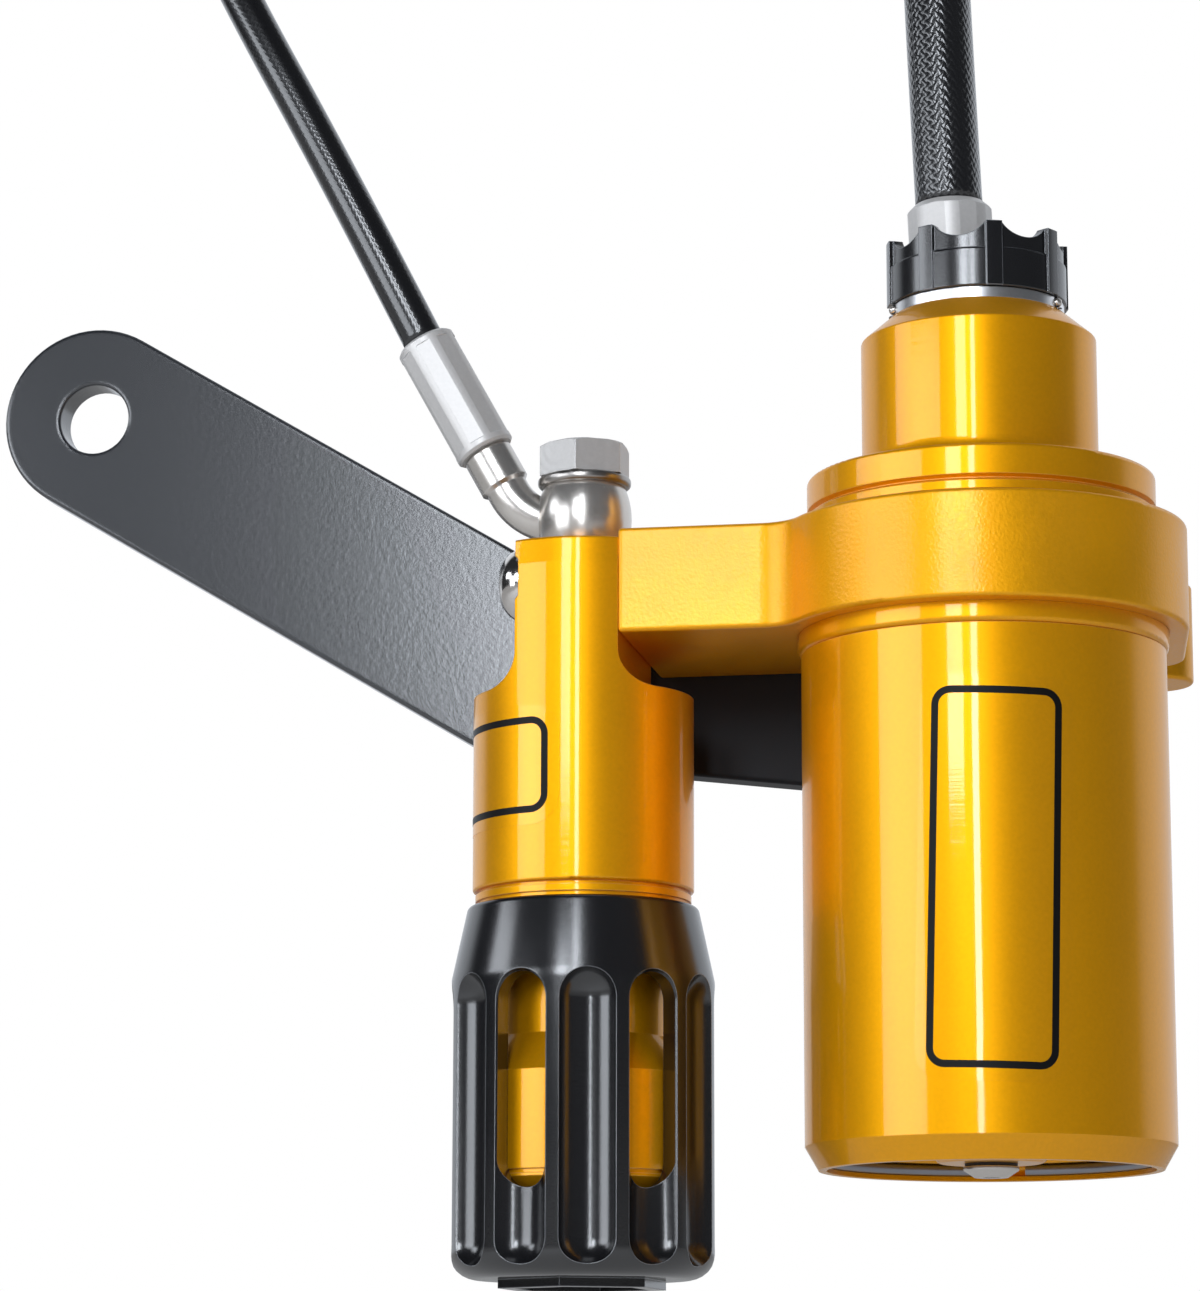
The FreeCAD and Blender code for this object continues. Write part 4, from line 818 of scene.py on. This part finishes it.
@dataclass(frozen=True)
class GripKnob:
    """Adjuster knob whose flutes have the round ends that a ball nosed cutter leaves.

    It stands for the solid knob, whose flutes are plain slots at another angle. Lengths are in
    millimetres, heights from the reservoir's foot level.

    Attributes:
        node: CAD node that the knob stands for.
        radius: Outer radius.
        bottom: Height of the foot.
        top: Height of the upper rim.
        top_radius: Radius at the upper rim.
        shoulder: Height at which the cone starts.
        bore: Radius of the bore round the barrel.
        floor: Lower and upper face of the inner floor.
        screw_bore: Radius of the hole for the lead screw.
        recess: Radius of the recess in the foot.
        flutes: Number of flutes.
        flute_width: Width of a flute where it meets the outer face.
        flute_floor: Radius of a flute's floor.
        flute_span: Lower and upper end of a flute.
        window_low: Lower end of the window in every second flute.
        window_edge: How much narrower than the flute a window is at each side.
        turn: Angle of the first flute in degrees, from +X.
        hexagon: Width across the flats of the foot's hexagon.
        hexagon_height: Height of the hexagon below the foot.
        hexagon_turn: Angle of one of its corners in degrees, from +X.
    """

    node: str = "adjuster_knob"
    radius: float = 19.0
    bottom: float = -18.0
    top: float = 35.1
    top_radius: float = 16.6
    shoulder: float = 24.0
    bore: float = 15.7
    floor: tuple = (-11.0, -9.0)
    screw_bore: float = 5.05
    recess: float = 9.9
    flutes: int = 12
    flute_width: float = 8.0
    flute_floor: float = 16.4
    flute_span: tuple = (-16.8, 24.4)
    window_low: float = -5.8
    window_edge: float = 0.2
    turn: float = -47.5
    hexagon: float = 21.4
    hexagon_height: float = 1.3
    hexagon_turn: float = 25.5

    def _turned(self, outline: Sequence, steps: int, closed: bool) -> bmesh.types.BMesh:
        """Outline of (radius, height) points turned about Z; a point on the axis is a pole."""
        shape = bmesh.new()
        rings = []
        for x, y in outline:
            count = steps if x > 1e-6 else 1
            rings.append([shape.verts.new((x * math.cos(2.0 * math.pi * k / steps),
                                           x * math.sin(2.0 * math.pi * k / steps), y))
                          for k in range(count)])
        pairs = list(zip(rings, rings[1:]))
        if closed:
            pairs.append((rings[-1], rings[0]))
        for low, high in pairs:
            for k in range(steps):
                n = (k + 1) % steps
                corners = (low[k % len(low)], low[n % len(low)],
                           high[n % len(high)], high[k % len(high)])
                shape.faces.new(tuple(dict.fromkeys(corners)))
        return shape

    def _prism(self, outline: Sequence, near: float, far: float) -> bmesh.types.BMesh:
        """Outline of (y, z) points drawn out along X from near to far."""
        shape = bmesh.new()
        ends = [[shape.verts.new((x, y, z)) for y, z in outline] for x in (near, far)]
        for k in range(len(outline)):
            n = (k + 1) % len(outline)
            shape.faces.new((ends[0][k], ends[0][n], ends[1][n], ends[1][k]))
        for end in ends:
            shape.faces.new(end)
        return shape

    def _object(self, name: str, shape: bmesh.types.BMesh,
                turns: Sequence[float]) -> bpy.types.Object:
        """Copies of a shape turned about the knob's axis, as one object."""
        bmesh.ops.recalc_face_normals(shape, faces=shape.faces)
        source = list(shape.verts) + list(shape.edges) + list(shape.faces)
        for turn in turns[1:]:
            copy = bmesh.ops.duplicate(shape, geom=source)["geom"]
            verts = [v for v in copy if isinstance(v, bmesh.types.BMVert)]
            bmesh.ops.rotate(shape, verts=verts, matrix=Matrix.Rotation(turn - turns[0], 3, "Z"))
        bmesh.ops.rotate(shape, verts=shape.verts, matrix=Matrix.Rotation(turns[0], 3, "Z"))
        bmesh.ops.transform(shape, verts=shape.verts,
                            matrix=Matrix.Translation(ADJUSTER) @ Matrix.Scale(MM, 4))
        mesh = bpy.data.meshes.new(name)
        shape.to_mesh(mesh)
        shape.free()
        made = bpy.data.objects.new(name, mesh)
        bpy.context.scene.collection.objects.link(made)
        return made

    def _cutters(self) -> list:
        """Flute tools, window tools and the hexagon, with the boolean operation of each."""
        turns = [math.radians(self.turn + 360.0 / self.flutes * k) for k in range(self.flutes)]
        half = self.flute_width / 2.0
        depth = math.sqrt(self.radius ** 2 - half ** 2) - self.flute_floor
        ball = (half ** 2 + depth ** 2) / (2.0 * depth)
        low, high = self.flute_span[0] + half, self.flute_span[1] - half
        quarter = [math.radians(7.5 * k) for k in range(13)]
        capsule = [(ball * math.sin(a), low - ball * math.cos(a)) for a in quarter]
        capsule += [(ball * math.cos(a), high + ball * math.sin(a)) for a in quarter]
        capsule[0], capsule[-1] = (0.0, low - ball), (0.0, high + ball)
        flute = self._turned(capsule, 64, False)
        bmesh.ops.translate(flute, verts=flute.verts, vec=(self.flute_floor + ball, 0.0, 0.0))
        side = half - self.window_edge
        corner = side * 0.999
        window_high = self.flute_span[1] - self.window_edge
        slot = rounded([(-side, self.window_low, corner), (side, self.window_low, corner),
                        (side, window_high, corner), (-side, window_high, corner)], 10)
        window = self._prism(slot, self.bore - 3.0, self.radius + 2.0)
        reach = self.hexagon / math.sqrt(3.0)
        foot = (self.bottom - self.hexagon_height, self.bottom + 0.5)
        nut = self._turned([(self.recess, foot[0]), (reach, foot[0]), (reach, foot[1]),
                            (self.recess, foot[1])], 6, True)
        return [("DIFFERENCE", self._object("flute_tools", flute, turns)),
                ("DIFFERENCE", self._object("window_tools", window, turns[::2])),
                ("UNION", self._object("foot_hexagon", nut, [math.radians(self.hexagon_turn)]))]

    def build(self, painter: Painter) -> bpy.types.Object:
        """Turn the cup, cut it and put it in the solid knob's place.

        Args:
            painter: Source of the material.

        Returns:
            The knob, which turns with the solid one's body.
        """
        outline = rounded([
            (self.screw_bore, self.floor[0], 0.0), (self.recess, self.floor[0], 0.0),
            (self.recess, self.bottom, 0.4), (self.radius, self.bottom, 4.0),
            (self.radius, self.shoulder, 8.0), (self.top_radius, self.top, 0.9),
            (self.bore, self.top, 0.0), (self.bore, self.floor[1], 0.0),
            (self.screw_bore, self.floor[1], 0.0)])
        cup = self._object(self.node + "_cup", self._turned(outline, 240, True), [0.0])
        cutters = self._cutters()
        for operation, tool in cutters:
            modifier = cup.modifiers.new(tool.name, "BOOLEAN")
            modifier.operation = operation
            modifier.solver = "EXACT"
            modifier.object = tool
        mesh = baked(cup, *(tool for _, tool in cutters))
        mesh.shade_smooth()
        mesh.set_sharp_from_angle(angle=math.radians(28.0))
        knob = mesh_object(self.node + "_fluted", mesh, painter.material("black_anodised"))
        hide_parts(self.node)
        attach(knob, "preload_knob")
        return knob


@dataclass(frozen=True)
class TallDial:
    """Compression dial of the photograph's height and reach, drawn out of the solid one.

    Lengths are in millimetres, heights from the reservoir's foot level.

    Attributes:
        node: CAD node that the dial stands for.
        heights: (solid, drawn out) height of the dial's levels, in rising order.
        bore: Radius within which the seat on the snap ring stays as it is.
        seat: Height up to which it stays.
        spread: Growth of everything outside that radius, but the skirt.
    """

    node: str = "compression_dial"
    heights: tuple = ((121.2, 121.2), (122.0, 122.0), (125.4, 126.95), (129.4, 130.75),
                      (140.0, 141.35))
    bore: float = 11.4
    seat: float = 124.5
    spread: float = 13.2 / 12.4

    def _moved(self, place: Vector) -> Vector:
        """Where a point of the solid dial goes."""
        local = (place - RESERVOIR) / MM
        reach = math.hypot(local.x, local.y)
        if local.z <= self.heights[0][0] or (reach < self.bore and local.z < self.seat):
            return place
        if reach > self.bore:
            local.x *= self.spread
            local.y *= self.spread
        for (low, new_low), (high, new_high) in zip(self.heights, self.heights[1:]):
            if local.z <= high:
                local.z = new_low + (local.z - low) * (new_high - new_low) / (high - low)
                break
        return RESERVOIR + local * MM

    def build(self, painter: Painter) -> bpy.types.Object:
        """Copy the solid dial's mesh, draw it out and put it in the solid one's place.

        Args:
            painter: Source of the material.

        Returns:
            The dial, which turns with the solid one's body.
        """
        source = frame["nodes"][self.node]
        mesh = source.data.copy()
        mesh.transform(source.matrix_world)
        for vertex in mesh.vertices:
            vertex.co = self._moved(vertex.co)
        dial = mesh_object(self.node + "_tall", mesh, painter.material("black_anodised"))
        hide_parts(self.node)
        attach(dial, "compression_dial")
        return dial


@dataclass(frozen=True)
class Softbox:
    """A rectangular light that faces the object.

    Attributes:
        name: Name of the light.
        azimuth: Bearing from the object in degrees, from -Y towards +X.
        elevation: Height above the horizon in degrees.
        width: Width in metres.
        height: Height in metres.
        radiance: Brightness of the panel.
        shiny: Whether gloss shows the panel.
        distance: Distance from the object in metres.
    """

    name: str
    azimuth: float
    elevation: float
    width: float
    height: float
    radiance: float
    shiny: bool = True
    distance: float = 0.85

    def build(self, target: Vector) -> bpy.types.Object:
        """Area light turned towards the target.

        Args:
            target: Point that the panel faces.

        Returns:
            The light object.
        """
        light = bpy.data.lights.new(self.name, "AREA")
        light.shape = "RECTANGLE"
        light.size = self.width
        light.size_y = self.height
        light.color = COOL
        light.energy = self.radiance * math.pi * self.width * self.height
        azimuth, elevation = math.radians(self.azimuth), math.radians(self.elevation)
        away = Vector((math.sin(azimuth) * math.cos(elevation),
                       -math.cos(azimuth) * math.cos(elevation), math.sin(elevation)))
        made = bpy.data.objects.new(self.name, light)
        made.matrix_world = (Matrix.Translation(target + away * self.distance)
                             @ away.to_track_quat("Z", "Y").to_matrix().to_4x4())
        made.visible_camera = False
        made.visible_glossy = self.shiny
        bpy.context.scene.collection.objects.link(made)
        return made


class Studio:
    """Camera, lights, world and floor."""

    SOFTBOXES = (
        Softbox("key_wide", -9.5, 16.0, 0.14, 0.30, 13.5),
        Softbox("key_narrow", 2.2, 14.0, 0.055, 0.56, 20.0),
        Softbox("side_left", -46.0, 6.5, 0.46, 0.34, 5.0),
        Softbox("upper_left", -72.0, 19.0, 0.30, 0.18, 4.6),
        Softbox("fill_right", 50.0, 12.0, 0.5, 0.5, 1.8, shiny=False),
        Softbox("overhead", 0.0, 86.0, 0.4, 0.4, 0.6),
    )
    TARGET = Vector((0.10, -0.02, -0.03))
    YAW, PITCH, ROLL = (math.radians(degrees) for degrees in (10.3, 11.023, 0.121))
    VIEWPOINT = Vector((0.19125, -0.6113, -0.15927))
    FOCAL_PIXELS, HEIGHT_PIXELS = 4157.18, 1291.0
    FLOOR_HEIGHT, FLOOR_SIZE, FLOOR_GLOW = -0.30, 9.0, 0.3
    # World: steps from dark to light towards the back, the right and up, and brightnesses
    BACK_STEP, SIDE_STEP, UP_STEP = (0.28, 0.58), (0.1, 0.7), (-0.85, -0.1)
    BACK_LIGHT, SIDE_LIGHT, ROOM_LIGHT = 0.87, 0.06, 0.032

    def build(self, painter: Painter) -> None:
        """Make everything that isn't the object.

        Args:
            painter: Source of the floor's material.
        """
        for softbox in self.SOFTBOXES:
            softbox.build(self.TARGET)
        self._camera()
        self._world()
        self._floor(painter)
        bpy.context.scene.view_settings.view_transform = "Standard"

    def _camera(self) -> None:
        """Camera at the photograph's viewpoint."""
        level = math.cos(self.PITCH)
        ahead = Vector((-math.sin(self.YAW) * level, math.cos(self.YAW) * level,
                        math.sin(self.PITCH)))
        right = Vector((math.cos(self.YAW), math.sin(self.YAW), 0.0))
        up = right.cross(ahead)
        rolled_right = right * math.cos(self.ROLL) + up * math.sin(self.ROLL)
        rolled_up = up * math.cos(self.ROLL) - right * math.sin(self.ROLL)
        data = bpy.data.cameras.new("photograph")
        data.sensor_fit = "VERTICAL"
        data.sensor_height = 36.0
        data.lens = self.FOCAL_PIXELS / self.HEIGHT_PIXELS * data.sensor_height
        data.clip_start = 0.01
        camera = bpy.data.objects.new("photograph", data)
        turn = Matrix((rolled_right, rolled_up, -ahead)).transposed().to_4x4()
        camera.matrix_world = Matrix.Translation(self.VIEWPOINT) @ turn
        bpy.context.scene.collection.objects.link(camera)
        bpy.context.scene.camera = camera

    def _world(self) -> None:
        """Dark room in front of the object, white paper behind it."""
        world = bpy.data.worlds.new("studio")
        world.use_nodes = True
        bpy.context.scene.world = world
        tree = Tree(world.node_tree)
        east, north, up = tree.axes(tree.add("ShaderNodeTexCoord", output="Generated"))
        back = north.step(*self.BACK_STEP)
        side = east.step(*self.SIDE_STEP)
        level = back * self.BACK_LIGHT + side * self.SIDE_LIGHT + self.ROOM_LIGHT
        level = level * (up.step(*self.UP_STEP) * 0.7 + 0.3)
        seen = tree.add("ShaderNodeLightPath", output="Is Camera Ray")
        paper = back * mirrored(tree)
        level = level * (1.0 - paper) + paper
        level = seen + (1.0 - seen) * level
        tint = tree.add("ShaderNodeMix", {0: seen, 6: (*COOL, 1.0), 7: (1.0, 1.0, 1.0, 1.0)},
                        output=2, data_type="RGBA")
        shader = tree.add("ShaderNodeBackground", {"Color": tint, "Strength": level})
        tree.add("ShaderNodeOutputWorld", {"Surface": shader})

    def _floor(self, painter: Painter) -> None:
        """Wide pale floor under the hanging unit, also pale where it is seen or mirrored."""
        mesh = bpy.data.meshes.new("floor")
        shape = bmesh.new()
        middle = Matrix.Translation((self.TARGET.x, 0.0, self.FLOOR_HEIGHT))
        bmesh.ops.create_grid(shape, x_segments=2, y_segments=2, size=self.FLOOR_SIZE,
                              matrix=middle)
        shape.to_mesh(mesh)
        shape.free()
        material = painter.material("pale_floor")
        tree = Tree(material.node_tree, empty=False)
        nodes = {node.type: node for node in tree.tree.nodes}
        plain = Signal(tree.tree, nodes["BSDF_PRINCIPLED"].outputs[0])
        seen = tree.add("ShaderNodeLightPath", output="Is Camera Ray")
        seen = seen.math("MAXIMUM", mirrored(tree))
        glow = tree.add("ShaderNodeEmission", {"Color": (1.0, 1.0, 1.0, 1.0), "Strength": 1.0})
        both = tree.add("ShaderNodeMixShader", {0: seen * self.FLOOR_GLOW, 1: plain, 2: glow})
        connect(tree.tree, nodes["OUTPUT_MATERIAL"].inputs[0], both)
        mesh_object("floor", mesh, material)


class RemoteUnit:
    """The whole dressed object."""

    HOSES = (
        Hose("reservoir_hose",
             ((0.136853, -0.0273, 0.020078), (0.13555, -0.0273, 0.0506), (0.1342, -0.0228, 0.0826),
              (0.1328, -0.0039, 0.1096), (0.1316, 0.0258, 0.1241), (0.1308, 0.0587, 0.1229)),
             0.0098, 0.160, 26, ("reservoir_hose_end_ferrule", "reservoir_hose_end_banjo")),
        Hose("preload_hose",
             ((0.058087, -0.0253, 0.003564), (0.0438, -0.0253, 0.0316), (0.0285, -0.0248, 0.0596),
              (0.0148, -0.0193, 0.0871), (0.0078, 0.0027, 0.1151), (0.0068, 0.0347, 0.1231),
              (0.0078, 0.0667, 0.1201)),
             0.0061, 0.194, 20, ("preload_hose_end_ferrule", "preload_hose_end_banjo"),
             "smooth_hose"),
    )
    FILMS = (
        Film("reservoir_label", RESERVOIR, 0.026, -12.6, 27.4, 8.7, 60.8, -1.7),
        Film("adjuster_label", ADJUSTER, 0.016, -130.0, -8.1, 46.9, 60.7),
    )
    KNURLS = (
        Knurl("pinch_screw_knurl", (0.1625, 0.0233, -0.0366)),
        Knurl("bracket_screw_knurl_a", (0.0998, 0.0046, -0.0366)),
        Knurl("bracket_screw_knurl_b", (0.1148, 0.0046, -0.0366)),
    )

    def build(self, painter: Painter) -> None:
        """Give every CAD node its finish and add the modelled pieces.

        Args:
            painter: Source of the materials.
        """
        slots = {s["node"]: s["material_slot"] for s in frame["record"]["subparts"]}
        for name, node in frame["nodes"].items():
            finish = NODE_FINISH.get(name, slots[name])
            for slot in node.material_slots:
                slot.material = painter.material(finish)
        for piece in (*self.HOSES, *self.FILMS, *self.KNURLS, GripKnob(), TallDial()):
            LOG.info("building %s", type(piece).__name__)
            piece.build(painter)


def main() -> None:
    """Build the materials, the dressed object and the studio."""
    logging.basicConfig(level=logging.INFO)
    painter = Painter()
    RemoteUnit().build(painter)
    Studio().build(painter)


if __name__ == "__main__":
    main()
